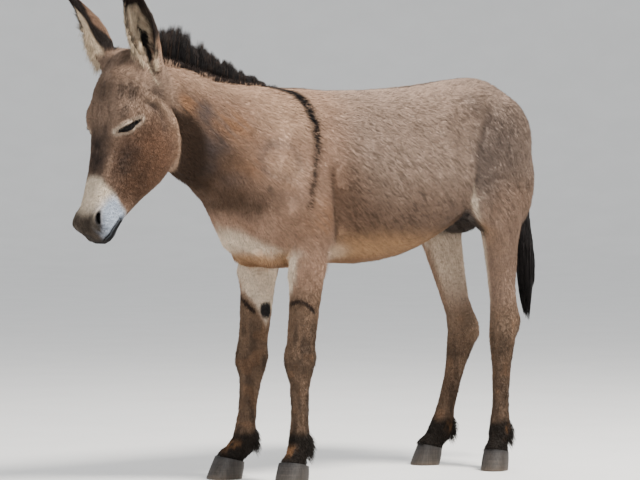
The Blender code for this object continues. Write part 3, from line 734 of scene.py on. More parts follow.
# %% Thin the mesh and unwrap it
SKIN_TRIANGLES = 178000
points = places(mesh)
keep = np.clip(0.45 * head_share(points) + 0.35 * ear_share(points), 0, 0.6)
keep = np.maximum(keep, 0.97 * near_eyes(points, 0.040))
keep = np.maximum(keep, 0.80 * (head_places(points)[:, 0] > 0.40))
weigh(skin, "thin", 1 - keep, 20)
ratio = SKIN_TRIANGLES / len(triangles_of(mesh))
mesh = finished(skin, [("DECIMATE", {"ratio": ratio, "vertex_group": "thin", "vertex_group_factor": 1.0}),
                       ("TRIANGULATE", {})])
skin.vertex_groups.clear()
bm = bmesh.new()
bm.from_mesh(mesh)
bmesh.ops.dissolve_degenerate(bm, dist=1e-5, edges=bm.edges[:])
bmesh.ops.triangulate(bm, faces=bm.faces[:])
bm.to_mesh(mesh)
bm.free()
mesh.shade_smooth()
print("skin:", len(mesh.polygons), "triangles")


def unwrap(obj):
    """Flattens the surface for the bake map."""
    obj.data.uv_layers.new(name="OFBake")
    bpy.context.view_layer.objects.active = obj
    obj.select_set(True)
    bpy.ops.object.mode_set(mode="EDIT")
    bpy.ops.mesh.select_all(action="SELECT")
    bpy.ops.uv.smart_project(angle_limit=1.15, island_margin=0.002, scale_to_bounds=True)
    bpy.ops.object.mode_set(mode="OBJECT")
    obj.select_set(False)


unwrap(skin)

# %% [markdown]
# ## Reading a solid by its sections
# The mane and the tail's switch have to fill the solids that they replace. `bisect_plane` cuts a copy of a
# solid at many places in turn, and the corners of each cut say where the hair may be there.

# %% Sections of a solid
def sections(node, axis, count=28):
    """The lowest and highest corner of a node's cross-sections, in order along an axis."""
    low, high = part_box(node)
    whole = bmesh.new()
    whole.from_mesh(copy_of(node))
    normal = Vector([float(i == axis) for i in range(3)])
    found = []
    for at in np.linspace(low[axis] + 0.001, high[axis] - 0.001, count):
        cut = whole.copy()
        bmesh.ops.bisect_plane(cut, geom=cut.verts[:] + cut.edges[:] + cut.faces[:],
                               plane_co=normal * float(at), plane_no=normal, clear_inner=True)
        edge = np.array([v.co for v in cut.verts if abs(v.co[axis] - at) < 1e-5])
        found.append([edge.min(0), edge.max(0)])
        cut.free()
    whole.free()
    return np.array(found)


def along_sections(table, axis, at):
    """The lowest and highest corner of the cross-section at each place."""
    order = table[:, 0, axis]
    low, high = table[:, 0], table[:, 1]
    return [np.column_stack([np.interp(at, order, column) for column in end.T]) for end in (low, high)]


def beside_mane(points):
    """How far outside the mane's foot a place is, across the neck, and the mane's corners there."""
    low, high = along_sections(MANE, 0, points[:, 0])
    off = np.abs(points[:, 1] - (low[:, 1] + high[:, 1]) / 2) - (high[:, 1] - low[:, 1]) / 2
    return off, low, high


MANE = sections("mane", 0)
MANE_FRONT, MANE_REAR = MANE[0, 0, 0], MANE[-1, 0, 0]
print("mane, from front to rear:", round(MANE_FRONT, 3), round(MANE_REAR, 3))

# %% [markdown]
# ## The markings
# Skin and hair are painted by one function of the place on the body, so they always agree. It starts from a
# grey tan and lays one marking over another, each with a soft, slightly wandering edge: the warm neck, the
# pale belly and muzzle, the dark cross over the shoulder, the bars on the forearms, the dark pasterns and the
# black-rimmed ears. Among these it also paints shade and highlights: shade on the lower neck and flank,
# behind the elbow, along the thigh's front, under the belly and in the folds of the chest, and highlights
# along the ridges of the face.

# %% The palette
PALETTE = {
    "grey tan": (0.375, 0.268, 0.206),
    "light tan": (0.520, 0.345, 0.235),
    "shoulder": (0.365, 0.222, 0.150),
    "warm": (0.190, 0.104, 0.060),
    "rust": (0.330, 0.170, 0.088),
    "brown": (0.036, 0.020, 0.012),
    "blue grey": (0.080, 0.078, 0.088),
    "hip": (0.140, 0.105, 0.088),
    "thigh": (0.205, 0.122, 0.080),
    "buff": (0.385, 0.222, 0.112),
    "cream": (0.700, 0.565, 0.435),
    "leg": (0.172, 0.108, 0.070),
    "leg dark": (0.040, 0.028, 0.021),
    "pastern": (0.014, 0.011, 0.009),
    "orange": (0.260, 0.130, 0.060),
    "bar": (0.016, 0.010, 0.008),
    "face": (0.235, 0.155, 0.110),
    "face dark": (0.040, 0.028, 0.023),
    "cheek": (0.140, 0.070, 0.040),
    "muzzle": (0.400, 0.450, 0.535),
    "muzzle warm": (0.620, 0.510, 0.390),
    "muzzle grey": (0.045, 0.034, 0.026),
    "lip": (0.026, 0.023, 0.022),
    "black": (0.006, 0.005, 0.005),
    "flank shade": (0.120, 0.066, 0.040),
    "hock": (0.235, 0.155, 0.105),
    "underside shade": (0.180, 0.086, 0.036),
    "muzzle brown": (0.135, 0.095, 0.070),
    "ear hair": (0.560, 0.440, 0.310),
}


class Coat:
    """Colours for a set of points, laid on one marking after another."""

    def __init__(self, count, name):
        self.colour = np.tile(np.array(PALETTE[name]), (count, 1))

    def lay(self, name, share):
        share = np.clip(share, 0, 1)[:, None]
        self.colour = self.colour * (1 - share) + np.array(PALETTE[name]) * share


print(len(PALETTE), "colours")

# %% [markdown]
# ## The neck and the trunk
# A grey tan ground, warmer on the shoulder. The neck is dark below and behind the cheek, partly its own brown
# and partly painted shade, and tan along its crest, with blue-grey and rusty patches where the winter coat is
# thin. Painted shade darkens the flank downwards and lies behind the elbow and along the thigh's front edge.
# The belly is buff, with painted shade where it faces the ground.

# %% Markings of the trunk
# edges seen from the side, as (x, z) places from the lowest up: behind the elbow, and the thigh's front;
# painted shade lies behind each
ELBOW_LINE = [(0.092, 0.685), (0.074, 0.768), (0.067, 0.854), (0.064, 0.920)]
THIGH_LINE = [(0.579, 0.835), (0.574, 0.896), (0.603, 0.970), (0.642, 1.085)]
DOWN_AND_BACK = np.array([[0.8, 0, 0.6], [0, 1, 0], [-0.6, 0, 0.8]])
# colour, middle and radii in the body axes, and how strong it is; the brown patches are partly the neck's own
# colour and partly painted shade behind the cheek and low on the neck
NECK_PATCHES = [
    ("brown", (-0.370, -0.10, 0.965), (0.105, 0.14, 0.110), 0.97),
    ("brown", (-0.300, -0.07, 0.885), (0.095, 0.14, 0.080), 0.95),
    ("brown", (-0.235, -0.05, 0.812), (0.060, 0.12, 0.045), 0.85),
    ("brown", (-0.170, -0.11, 0.795), (0.070, 0.10, 0.036), 0.85),
    ("brown", (-0.425, -0.10, 1.050), (0.060, 0.12, 0.065), 0.92),
    ("brown", (-0.340, -0.09, 0.915), (0.090, 0.12, 0.080), 0.70),
    ("brown", (-0.255, -0.05, 0.840), (0.065, 0.10, 0.045), 0.55),
    ("warm", (-0.010, -0.15, 0.735), (0.070, 0.08, 0.050), 0.60),
    ("warm", (-0.215, -0.09, 0.930), (0.060, 0.08, 0.085), 0.60),
    ("blue grey", (-0.313, -0.09, 1.056), (0.026, 0.07, 0.024), 0.75),
    ("blue grey", (-0.290, -0.09, 0.985), (0.042, 0.07, 0.045), 0.45),
    ("blue grey", (-0.320, -0.09, 0.905), (0.050, 0.07, 0.030), 0.30),
    ("blue grey", (-0.215, -0.09, 0.870), (0.040, 0.07, 0.024), 0.35),
    ("blue grey", (-0.070, -0.14, 0.815), (0.040, 0.07, 0.024), 0.15),
    ("rust", (-0.390, -0.10, 1.080), (0.055, 0.08, 0.026), 0.80),
    ("rust", (-0.225, -0.09, 1.025), (0.065, 0.08, 0.036), 0.75),
    ("rust", (-0.165, -0.11, 0.900), (0.045, 0.08, 0.036), 0.45),
    ("rust", (-0.075, -0.14, 0.865), (0.045, 0.08, 0.030), 0.40),
    ("rust", (0.030, -0.16, 0.755), (0.040, 0.08, 0.045), 0.45),
]
CREST_LINE = [-0.47, -0.28, -0.03, 0.1], [1.12, 1.10, 1.06, 1.06]      # x and z along the crest's lower edge


def paint_trunk(coat, p, q, outward):
    """The neck, trunk and upper legs. p holds body places, q the same with wandering edges."""
    side = mirrored(q)
    fine = noise(p, 0.022, 12)
    streak = noise(p @ DOWN_AND_BACK, (0.060, 0.030, 0.010), 13)
    coat.lay("shoulder", step(q[:, 0], 0.21, 0.04) * 0.85)
    coat.lay("thigh", step(q[:, 0], 0.58, 0.66) * step(q[:, 2], 0.93, 0.82) * 0.60)
    flank = step(q[:, 0], 0.06, 0.14) * step(q[:, 0], 0.62, 0.56)
    # painted shade: the flank darker downwards, and a broad band of it low behind the elbow
    coat.lay("flank shade", step(q[:, 2], 0.93, 0.73) * flank * 0.78)
    coat.lay("flank shade", blob(side, (0.130, -0.18, 0.800), (0.090, 0.12, 0.120), 0.8) * 0.45)
    crest = step(q[:, 2] - np.interp(q[:, 0], *CREST_LINE), -0.02, 0.03)
    coat.lay("light tan", crest * step(q[:, 0], 0.30, -0.02) * (0.32 + 0.35 * (1 - streak)))
    for name, centre, radii, amount in NECK_PATCHES:
        share = blob(side, centre, radii, 0.75)
        mottled = step(streak, 0.25, 0.60) if name == "rust" else 0.75 + 0.5 * (fine - 0.5)
        coat.lay(name, share * amount * mottled)
    ring = np.linalg.norm((side - (-0.102, -0.13, 0.919)) * (1, 0.3, 1), axis=1)
    coat.lay("blue grey", hump(ring - 0.056, 0.013) * (0.15 + 0.35 * fine) * step(q[:, 0], -0.25, -0.17))
    coat.lay("lip", blob(mirrored(p), (-0.125, -0.13, 0.841), (0.007, 0.06, 0.012), 0.3) * 0.7)
    coat.lay("light tan", blob(side, (-0.045, -0.10, 1.055), (0.10, 0.09, 0.075), 0.8) * 0.75)
    coat.lay("light tan", blob(side, (-0.080, -0.135, 0.900), (0.050, 0.09, 0.045), 0.8) * 0.55)
    # painted shade behind the elbow and the thigh's front edge, with a thin painted shadow line along each
    # edge
    for line, name, amount in ((ELBOW_LINE, "flank shade", 0.95), (THIGH_LINE, "hip", 0.80)):
        behind = p[:, 0] - np.interp(p[:, 2], [z for _, z in line], [x for x, _ in line])
        low, high = line[0][1], line[-1][1]
        within = step(p[:, 2], low - 0.02, low + 0.02) * step(p[:, 2], high, high - 0.04)
        shade = step(behind, -0.004, 0.004) * np.exp(-np.clip(behind, 0, None) / 0.045)
        coat.lay(name, shade * within * amount)
        coat.lay("leg dark", hump(behind - 0.002, 0.005) * within * (0.65 if line is ELBOW_LINE else 0.25))
    # the hip and the front of the thigh are darker: partly the coat's own dark grey, partly painted shade
    coat.lay("hip", blob(side, (0.672, -0.17, 0.960), (0.062, 0.12, 0.105), 0.90) * 0.60)
    coat.lay("hip", blob(side, (0.603, -0.13, 1.108), (0.030, 0.06, 0.030), 0.7) * (0.30 + 0.4 * fine))
    coat.lay("hip", blob(side, (0.615, -0.17, 0.890), (0.040, 0.12, 0.085), 0.6) * 0.55)
    coat.lay("hip", step(q[:, 0], 0.52, 0.74) * step(q[:, 2], 0.80, 0.92) * 0.30)
    coat.lay("hip", step(q[:, 0], 0.64, 0.72) * step(q[:, 2], 0.84, 0.94) * step(q[:, 2], 1.14, 1.05) * 0.15)
    # the buff belly, with painted shade where it faces straight down
    belly = step(-outward[:, 2], 0.15, 0.75) * step(q[:, 2], 0.76, 0.69) * step(q[:, 0], 0.04, 0.12)
    coat.lay("buff", belly * step(q[:, 0], 0.74, 0.66) * 0.95)
    coat.lay("underside shade", belly * step(-outward[:, 2], 0.80, 0.95) * 0.85)


print(len(NECK_PATCHES), "patches on each side of the neck")

# %% [markdown]
# ## Pale parts and legs
# The chest, the insides of the legs and the groin are cream. Each forearm has a dark bar in front and a
# dark block on its inner side, and below the fetlock the leg is nearly black.

# %% Markings of the chest and the legs
def inner_side(p, outward):
    """How much a place on a leg faces the other leg, from -1 to 1."""
    return np.where(p[:, 1] < 0, outward[:, 1], -outward[:, 1])


FOREARM_PALE = 0.535                # the height down to which the forearm's inside is pale


def pale_share(p, q, outward):
    """The cream chest, the insides of the legs and the groin."""
    inner, ahead = inner_side(p, outward), -outward[:, 0]
    chest = step(q[:, 2] + 0.35 * (q[:, 0] + 0.21) - 0.3 * np.clip(q[:, 0] + 0.19, -0.1, 0), 0.738, 0.708)
    chest *= step(q[:, 0], -0.015, -0.055)
    chest *= step(q[:, 2], 0.55, 0.59)
    chest *= np.maximum(step(q[:, 2], 0.635, 0.66), step(ahead + 0.8 * inner, 0.35, 0.75))
    arch = np.minimum(0.435 + 1.7 * np.abs(p[:, 0] - 0.005), FOREARM_PALE)
    low = FOREARM_PALE + (arch - FOREARM_PALE) * step(inner, 0.1, 0.5)
    fore = step(inner + 0.45 * ahead, 0.15, 0.45) * step(q[:, 2] - low, -0.01, 0.03)
    fore *= step(q[:, 2], 0.76, 0.70)
    fore *= step(q[:, 0], 0.16, 0.10)
    hind = step(inner, -0.05, 0.45) * step(q[:, 2], 0.46, 0.59) * step(q[:, 2], 0.86, 0.80)
    hind *= step(q[:, 0], 0.52, 0.58) * 0.62
    return np.maximum(np.maximum(chest, fore), hind)


# the pale edge in front of the thigh
THIGH_EDGE = [(0.576, -0.175, 0.842), (0.590, -0.160, 0.808), (0.604, -0.149, 0.775), (0.625, -0.140, 0.720),
              (0.650, -0.125, 0.670)]


def paint_pale(coat, p, q, outward):
    coat.lay("cream", pale_share(p, q, outward))
    side = mirrored(p)
    coat.lay("cream", blob(side, (0.102, -0.10, 0.655), (0.050, 0.05, 0.030), 0.8) * 0.45)
    # the chest's underline: buff that is partly its pale hair and partly a painted highlight, and painted
    # shade where it faces down
    sternum = step(p[:, 0], -0.20, -0.17) * step(p[:, 0], 0.03, -0.02) * step(p[:, 2], 0.675, 0.650)
    coat.lay("buff", sternum * step(-outward[:, 2], 0.10, 0.60) * 0.85)
    coat.lay("underside shade", sternum * step(-outward[:, 2], 0.75, 0.95) * 0.90)
    # painted shade along the folds of the chest
    for path, _, _ in CHEST_FOLDS:
        coat.lay("warm", hump(off_path(side, path), 0.006) * 0.45)
    edge = off_path(side, THIGH_EDGE)
    coat.lay("cream", step(edge, 0.017, 0.007) * step(q[:, 0], 0.560, 0.580))
    # dark between the hind legs: partly the dark skin of the groin, partly painted shade between the thighs
    between = step(np.abs(p[:, 1]), 0.142, 0.122) * step(p[:, 2], 0.690, 0.715) * step(p[:, 2], 0.86, 0.80)
    coat.lay("lip", between * step(p[:, 0], 0.560, 0.585) * step(p[:, 0], 0.84, 0.78) * 0.92)


# the bars across the front of the forearms
LEFT_BAR = [(-0.052, -0.095, 0.504), (-0.046, -0.115, 0.513), (-0.042, -0.147, 0.522),
            (-0.024, -0.162, 0.516), (0.002, -0.166, 0.494), (0.014, -0.168, 0.482)]
RIGHT_BAR = [(-0.048, 0.150, 0.548), (-0.048, 0.138, 0.528), (-0.048, 0.105, 0.508), (-0.034, 0.083, 0.484)]


def paint_legs(coat, p, q, outward):
    low = step(q[:, 2] + 0.07 * (p[:, 0] > 0.3), 0.60, 0.50)
    upright, fine = noise(p, (0.016, 0.016, 0.055), 21), noise(p, 0.014, 22)
    inner, ahead, fore = inner_side(p, outward), -outward[:, 0], p[:, 0] < 0.3
    brown = low * (1 - pale_share(p, q, outward))
    coat.lay("leg", brown)
    coat.lay("hock", ~fore * brown * step(q[:, 2], 0.34, 0.46) * 0.85)
    below = step(q[:, 2], 0.50, 0.42)
    coat.lay("leg dark", below * step(upright, 0.42, 0.72) * np.where(fore, 0.60, 0.45))
    knee = 0.45 * hump(q[:, 2] - 0.335, 0.035) + 0.30 * step(q[:, 2], 0.30, 0.20)
    coat.lay("leg dark", knee * (0.5 + fine))
    coat.lay("leg dark", ~fore * step(outward[:, 0], 0.2, 0.8) * step(q[:, 2], 0.40, 0.34) * 0.5)
    coat.lay("rust", below * step(noise(p, 0.026, 23), 0.62, 0.82) * 0.22)
    coat.lay("pastern", step(q[:, 2], 0.152, 0.128) * 0.97)
    ring = hump(p[:, 2] - 0.094, 0.013) * step(ahead, 0.3, 0.8) * step(fine, 0.15, 0.5)
    coat.lay("orange", fore * ring * 0.9)
    ring = hump(p[:, 2] - 0.118, 0.018) * step(ahead, 0.3, -0.3) * step(fine, 0.2, 0.6)
    coat.lay("orange", ~fore * ring * 0.6)
    bars = np.minimum(off_path(p, LEFT_BAR), off_path(p, RIGHT_BAR))
    coat.lay("bar", step(bars, 0.0085, 0.0045) * 0.95)
    for x, y in ((0.0, 0.074), (0.0, -0.074)):
        off = np.abs(0.6 * p + 0.4 * q - (x, y, 0.491)) / (0.021, 0.05, 0.024)
        block = step((off ** 2.6).sum(1), 1.35, 0.75)
        coat.lay("lip", block * step(inner, 0.0, 0.3))


print("the forearms are pale down to", FOREARM_PALE, "m")

# %% [markdown]
# ## The cross
# Donkeys carry a dark cross: a stripe down each shoulder, which narrows as it falls, and a thin one along
# the back that runs from the mane into the tail.

# %% Markings of the back, the shoulders and the tail
# the stripe's middle line on the left side, from the withers down
STRIPE = [(-0.090, 0, 1.150), (-0.034, -0.02, 1.142), (0.012, -0.045, 1.125), (0.036, -0.085, 1.083),
          (0.041, -0.123, 1.025), (0.029, -0.147, 0.954), (0.002, -0.169, 0.868), (-0.019, -0.174, 0.783)]
# heights, and the stripe's half width there
STRIPE_WIDTHS = [0.77, 0.80, 0.87, 0.95, 1.05, 1.12], [0.0042, 0.0062, 0.0086, 0.0115, 0.0145, 0.0175]


def paint_cross(coat, p, q, outward, points):
    """The stripe down each shoulder, the one along the back, and the dark skin beside the mane."""
    side = mirrored(p + (noise(p, 0.02, 31)[:, None] - 0.5) * (0.004, 0, 0))
    width = np.interp(side[:, 2], *STRIPE_WIDTHS)
    coat.lay("black", step(off_path(side, STRIPE), width * 1.10, width * 0.95))
    spine = step(np.abs(q[:, 1]), 0.016, 0.008) * step(outward[:, 2], 0.4, 0.8)
    coat.lay("bar", spine * step(q[:, 0], -0.06, 0.0) * 0.75)
    off, low, _ = beside_mane(points)
    crest = step(points[:, 2] - low[:, 2], -0.030, -0.015) * step(outward[:, 2], 0.2, 0.5)
    beside = crest * (points[:, 0] > MANE_FRONT) * step(points[:, 0], MANE_REAR + 0.02, MANE_REAR)
    coat.lay("bar", beside * step(off + 0.004 * noise(p, 0.006, 33), 0.010, 0.003) * 0.92)


def paint_tail(coat, q):
    coat.lay("bar", step(q[:, 0], 0.860, 0.885) * step(q[:, 2], 1.00, 0.88))


print("the cross is up to", 2 * STRIPE_WIDTHS[1][-1], "m wide")

# %% [markdown]
# ## The face
# The face is grey-brown with rusty cheeks. A ridge arches over the eye and runs down the cheek's rear edge,
# with a painted highlight along it, painted shade in the hollow under it, and painted shade on the neck
# behind the cheek. A painted highlight also runs along the bony crest below the eye. The muzzle is white with
# dark lips and nostrils, with painted shadow in the mouth's groove, and a pale ring lies round each eye.

# %% Markings of the head
# colour, middle and radii in the head axes, and how strong it is
FACE_PATCHES = [
    ("face dark", (0.105, 0.100, 0.000), (0.040, 0.032, 0.045), 0.40),
    ("face dark", (0.275, 0.065, 0.000), (0.080, 0.035, 0.048), 0.90),
    ("face dark", (0.262, 0.003, 0.064), (0.062, 0.034, 0.036), 0.65),
    ("face dark", (0.084, 0.060, 0.072), (0.026, 0.018, 0.026), 0.50),
    ("face dark", (0.060, -0.020, 0.080), (0.040, 0.030, 0.040), 0.50),
    ("brown", (0.305, -0.050, 0.060), (0.070, 0.060, 0.045), 0.55),
    ("brown", (0.175, -0.020, 0.090), (0.025, 0.040, 0.030), 0.35),
]


def paint_head(coat, points):
    face = head_share(points)
    h = head_places(points + (noise(points, 0.03, 41)[:, None] - 0.5) * 0.010)
    down, out, off = h[:, 0], h[:, 1], np.abs(h[:, 2])
    plain = folded_head(points)
    folded = np.column_stack([down, out, off])
    streak = noise(folded, (0.050, 0.010, 0.009), 42)
    fine, patch = noise(points, 0.012, 44), noise(points, 0.040, 43)
    coat.lay("face", face)
    coat.lay("face dark", face * step(streak, 0.50, 0.85) * 0.45)
    coat.lay("light tan", face * step(streak, 0.45, 0.15) * step(down, 0.20, 0.12) * 0.06)
    coat.lay("cheek", face * blob(folded, (0.25, -0.06, 0.06), (0.13, 0.105, 0.07), 0.5) * 0.9)
    rusty = blob(folded, (0.21, -0.135, 0.06), (0.08, 0.040, 0.05), 0.7) * step(patch, 0.25, 0.7)
    coat.lay("rust", face * rusty * 0.35)
    for name, centre, radii, amount in FACE_PATCHES:
        coat.lay(name, face * blob(folded, centre, radii, 0.7) * amount * (0.7 + 0.6 * fine))
    behind, along = behind_jaw(plain)
    # painted highlight along the cheek's rear edge, and painted shade on the neck behind it
    coat.lay("light tan", face * along * hump(behind + 0.010, 0.008) * 0.60)
    above = step(down, 0.060, 0.095) * step(down, 0.265, 0.225)
    coat.lay("brown", above * step(behind, -0.002, 0.005) * step(behind, 0.120, 0.075) * 0.92)
    # painted highlight along the facial crest; painted shade in the hollow under the arch and a painted
    # highlight along the arch
    crest = off_path(plain, [(0.215, 0.048, 0.066), (0.262, 0.048, 0.052), (0.315, 0.040, 0.042)])
    coat.lay("light tan", face * hump(crest, 0.006) * 0.45)
    coat.lay("face dark", face * hump(off_path(plain, UNDER_ARCH), 0.010) * 0.60)
    ridge = hump(off_path(plain, ARCH), 0.0080) * step(out, 0.030, 0.000)
    coat.lay("light tan", face * ridge * 0.60)
    snout = step(down - (0.368 - 0.60 * np.clip(out, -0.07, 0.07)), -0.011, 0.014)
    coat.lay("muzzle warm", face * snout)
    cool = step(down - 0.9 * out, 0.345, 0.40) * step(out, 0.045, 0.010) * step(off, 0.012, 0.030)
    coat.lay("muzzle", face * snout * cool)
    along, across, reach, _ = nostril_places(points)
    mottled = 0.78 + 0.22 * fine
    coat.lay("muzzle brown", face * step(off, 0.044, 0.024) * step(down, 0.425, 0.465) * mottled)
    coat.lay("muzzle grey", face * step(down + 0.9 * out, 0.445, 0.500) * mottled)
    coat.lay("muzzle grey", face * hump(reach, 0.024) * 0.60)
    coat.lay("lip", face * step(np.hypot(along, across), 2.0, 1.1) * 0.85 * (reach < 0.04))
    coat.lay("black", face * step(np.sqrt(along ** 4 + across ** 2), 1.15, 0.85) * (reach < 0.035))
    # the mouth's line and the lower lip are black: partly the lips' dark skin, partly painted shadow under
    # the upper lip
    gap, share = mouth_places(points)
    lower_lip = step(gap, 0.001, -0.005) * step(down, 0.405, 0.425) * step(gap, -0.030, -0.018)
    coat.lay("black", face * np.maximum(share * hump(gap, 0.006), lower_lip * 0.98))
    coat.lay("lip", face * step(down, 0.487, 0.500) * 0.7)
    coat.lay("black", face * share * hump(gap, 0.0022))
    for side in EYES:
        u, v, w, edge = slit_places(points, side)
        near = (w > -0.008) * step(np.hypot(u, v), 0.07, 0.055)
        bright = 0.36 + 0.34 * step(v, -0.003, 0.003) * step(u, -0.024, 0.004)
        coat.lay("cream", near * hump(edge - 0.0068, 0.0050) * bright * (0.7 + 0.6 * fine))
        coat.lay("black", near * step(edge, 0.0032, 0.0014))


print(len(FACE_PATCHES), "dark patches on the face")

# %% [markdown]
# ## The ears
# An ear is painted in its own places: how far along it, and how far round it a point is. Pale hair fills
# the inside, a dark hollow shows between it, the rims and the tip are black, and a black patch lies low on
# the outside. Each edge wanders along the ear, so it is a table of how far round it is at some reaches.

# %% Markings of the ears
# reaches along the ear, and how far round it each edge is there
PALE_EDGE = [0.0, 0.05, 0.08, 0.107, 0.135, 0.16, 0.20], [0.50, 0.68, 0.76, 0.77, 0.82, 0.90, 1.2]
DARK_EDGE = ([0.02, 0.035, 0.048, 0.078, 0.10, 0.14, 0.16, 0.22],
             [-0.4, -0.25, 0.12, 0.44, 0.58, 0.54, 0.40, 0.1])
HOLLOW_MIDDLE = [0.0, 0.04, 0.062, 0.078, 0.115], [0.15, 0.12, 0.04, -0.16, -0.04]
HOLLOW_WIDTH = [0.03, 0.05, 0.064, 0.078, 0.115, 0.125], [0.42, 0.34, 0.22, 0.10, 0.05, 0.0]
RIM_EDGE = [0.0, 0.03, 0.06, 0.10, 0.13], [1.1, 0.80, 0.62, 0.40, 0.2]


def paint_ears(coat, points, outward):
    for side in EARS:
        reach, turn, off, _, faces, _ = ear_places(points, side)
        turn = turn * side
        on = step(reach, -0.004, 0.016) * step(off, 1.5, 1.25) * (reach < 0.28)
        inside = np.clip(step(outward @ faces, -0.15, 0.35) * step(off, 1.02, 0.93)
                         + step(outward @ faces, 0.5, 0.8), 0, 1)
        outside = on * (1 - inside)
        coat.lay("thigh", on)
        pale, dark = np.interp(reach, *PALE_EDGE), np.interp(reach, *DARK_EDGE)
        band = step(-turn, dark - 0.06, dark + 0.06) * step(-turn, pale + 0.05, pale - 0.05)
        coat.lay("black", outside * band * step(reach, -0.006, 0.010) * 0.95)
        coat.lay("ear hair", outside * step(-turn, pale - 0.05, pale + 0.05))
        coat.lay("ear hair", on * inside * step(reach, 0.010, 0.032))
        coat.lay("black", outside * step(turn, 0.55, 0.80) * step(reach, 0.045, 0.065) * 0.9)
        coat.lay("warm", on * inside * step(noise(points, (0.01, 0.01, 0.03), 47), 0.5, 0.8) * 0.5)
        hollow, wide = np.interp(reach, *HOLLOW_MIDDLE), np.interp(reach, *HOLLOW_WIDTH)
        coat.lay("black", on * inside * step(np.abs(turn - hollow), wide + 0.06, wide) * (reach < 0.125))
        rim = np.interp(reach, *RIM_EDGE)
        coat.lay("bar", on * inside * step(turn, rim - 0.06, rim + 0.06) * 0.95)
        edges = step(np.abs(turn), 0.90, 0.99) * step(turn, -0.95, -0.8)
        coat.lay("bar", on * edges * step(reach, 0.03, 0.07))
        coat.lay("bar", on * inside * step(-turn, 0.90, 0.98) * step(reach, 0.03, 0.06) * 0.8)
        coat.lay("bar", on * step(reach, 0.135, 0.160) * np.where(inside > 0.5, 1.0, step(reach, 0.17, 0.22)))
    h = folded_head(points)
    wisps = 0.45 + 0.55 * noise(points, (0.006, 0.006, 0.030), 48)
    coat.lay("ear hair", step(stroke(h, EAR_STRIP), 0.002, -0.002) * wisps)
    coat.lay("bar", step(stroke(h, EAR_SHADE), 0.001, -0.002) * 0.9)
    coat.lay("ear hair", step(stroke(h, EAR_EDGE), 0.0015, -0.0015) * (0.4 + 0.6 * wisps))
    coat.lay("black", step(stroke(h, EAR_SLOT), 0.001, -0.002) * 0.97)


print("the ears are dark from", DARK_EDGE[0][0], "m up")

# %% All the markings, laid on the skin
def coat_colours(points, outward):
    """The colour of the coat at each point, given which way the surface faces there."""
    p = body_places(points)
    wander = np.column_stack([noise(p, 0.12, seed) + 0.35 * noise(p, 0.03, seed + 3) for seed in (1, 2, 3)])
    q = p + (wander - 0.675) * 0.035
    coat = Coat(len(points), "grey tan")
    for layer in (paint_trunk, paint_pale, paint_legs):
        layer(coat, p, q, outward)
    paint_cross(coat, p, q, outward, points)
    paint_tail(coat, q)
    paint_head(coat, points)
    paint_ears(coat, points, outward)
    return coat.colour * (0.90 + 0.20 * noise(points, 0.020, 7))[:, None]


skin_points, skin_normals = places(mesh), normals(mesh)
paint(mesh, coat_colours(skin_points, skin_normals) * 0.80)
print("painted the skin")

# %% [markdown]
# ## Materials
# Hair and hide are rough, with little gloss. The colour comes from the painted attribute, broken up by
# fine noise that is drawn out along the lie of the hair, and the same noise raises a small bump. Numbers
# that are the same everywhere sit on the shader's own sockets.

# %% Material makers
def new_material(name, roughness, **sockets):
    material = bpy.data.materials.new(name)
    material.use_nodes = True
    shader = material.node_tree.nodes["Principled BSDF"]
    shader.inputs["Roughness"].default_value = roughness
    for socket, value in sockets.items():
        shader.inputs[socket.replace("_", " ")].default_value = value
    return material, material.node_tree, shader


def add_node(tree, kind, **values):
    made = tree.nodes.new(kind)
    for name, value in values.items():
        if name in made.inputs:
            made.inputs[name].default_value = value
        else:
            setattr(made, name, value)
    return made


def stretched_noise(tree, scale, stretch, turn=(0, 0, 0), detail=3.0):
    """Noise on object coordinates, stretched along the hair."""
    coords = tree.nodes.new("ShaderNodeTexCoord")
    mapping = add_node(tree, "ShaderNodeMapping", Scale=stretch, Rotation=turn)
    made = add_node(tree, "ShaderNodeTexNoise", Scale=scale, Detail=detail)
    tree.links.new(coords.outputs["Object"], mapping.inputs["Vector"])
    tree.links.new(mapping.outputs["Vector"], made.inputs["Vector"])
    return made


def times_noise(tree, colour, pattern, low, high):
    """A colour made darker and lighter by a pattern."""
    limits = {"From Min": 0.3, "From Max": 0.7, "To Min": low, "To Max": high}
    spread = add_node(tree, "ShaderNodeMapRange", **limits)
    tree.links.new(pattern, spread.inputs["Value"])
    mix = add_node(tree, "ShaderNodeVectorMath", operation="MULTIPLY")
    tree.links.new(colour, mix.inputs[0])
    tree.links.new(spread.outputs["Result"], mix.inputs[1])
    return mix.outputs["Vector"]


def ramp(tree, value, stops):
    """A colour ramp of (place, colour) stops on a value from 0 to 1."""
    made = tree.nodes.new("ShaderNodeValToRGB")
    while len(made.color_ramp.elements) < len(stops):
        made.color_ramp.elements.new(0.5)
    for element, (place, colour) in zip(made.color_ramp.elements, stops):
        element.position = place
        element.color = (*colour, 1)
    tree.links.new(value, made.inputs["Fac"])
    return made.outputs["Color"]


def bump(tree, shader, height, strength, distance):
    made = add_node(tree, "ShaderNodeBump", Strength=strength, Distance=distance)
    tree.links.new(height, made.inputs["Height"])
    tree.links.new(made.outputs["Normal"], shader.inputs["Normal"])


HAIR_SCALE, HAIR_STRETCH, HAIR_TURN = 150, (0.35, 1, 1), radians(32)


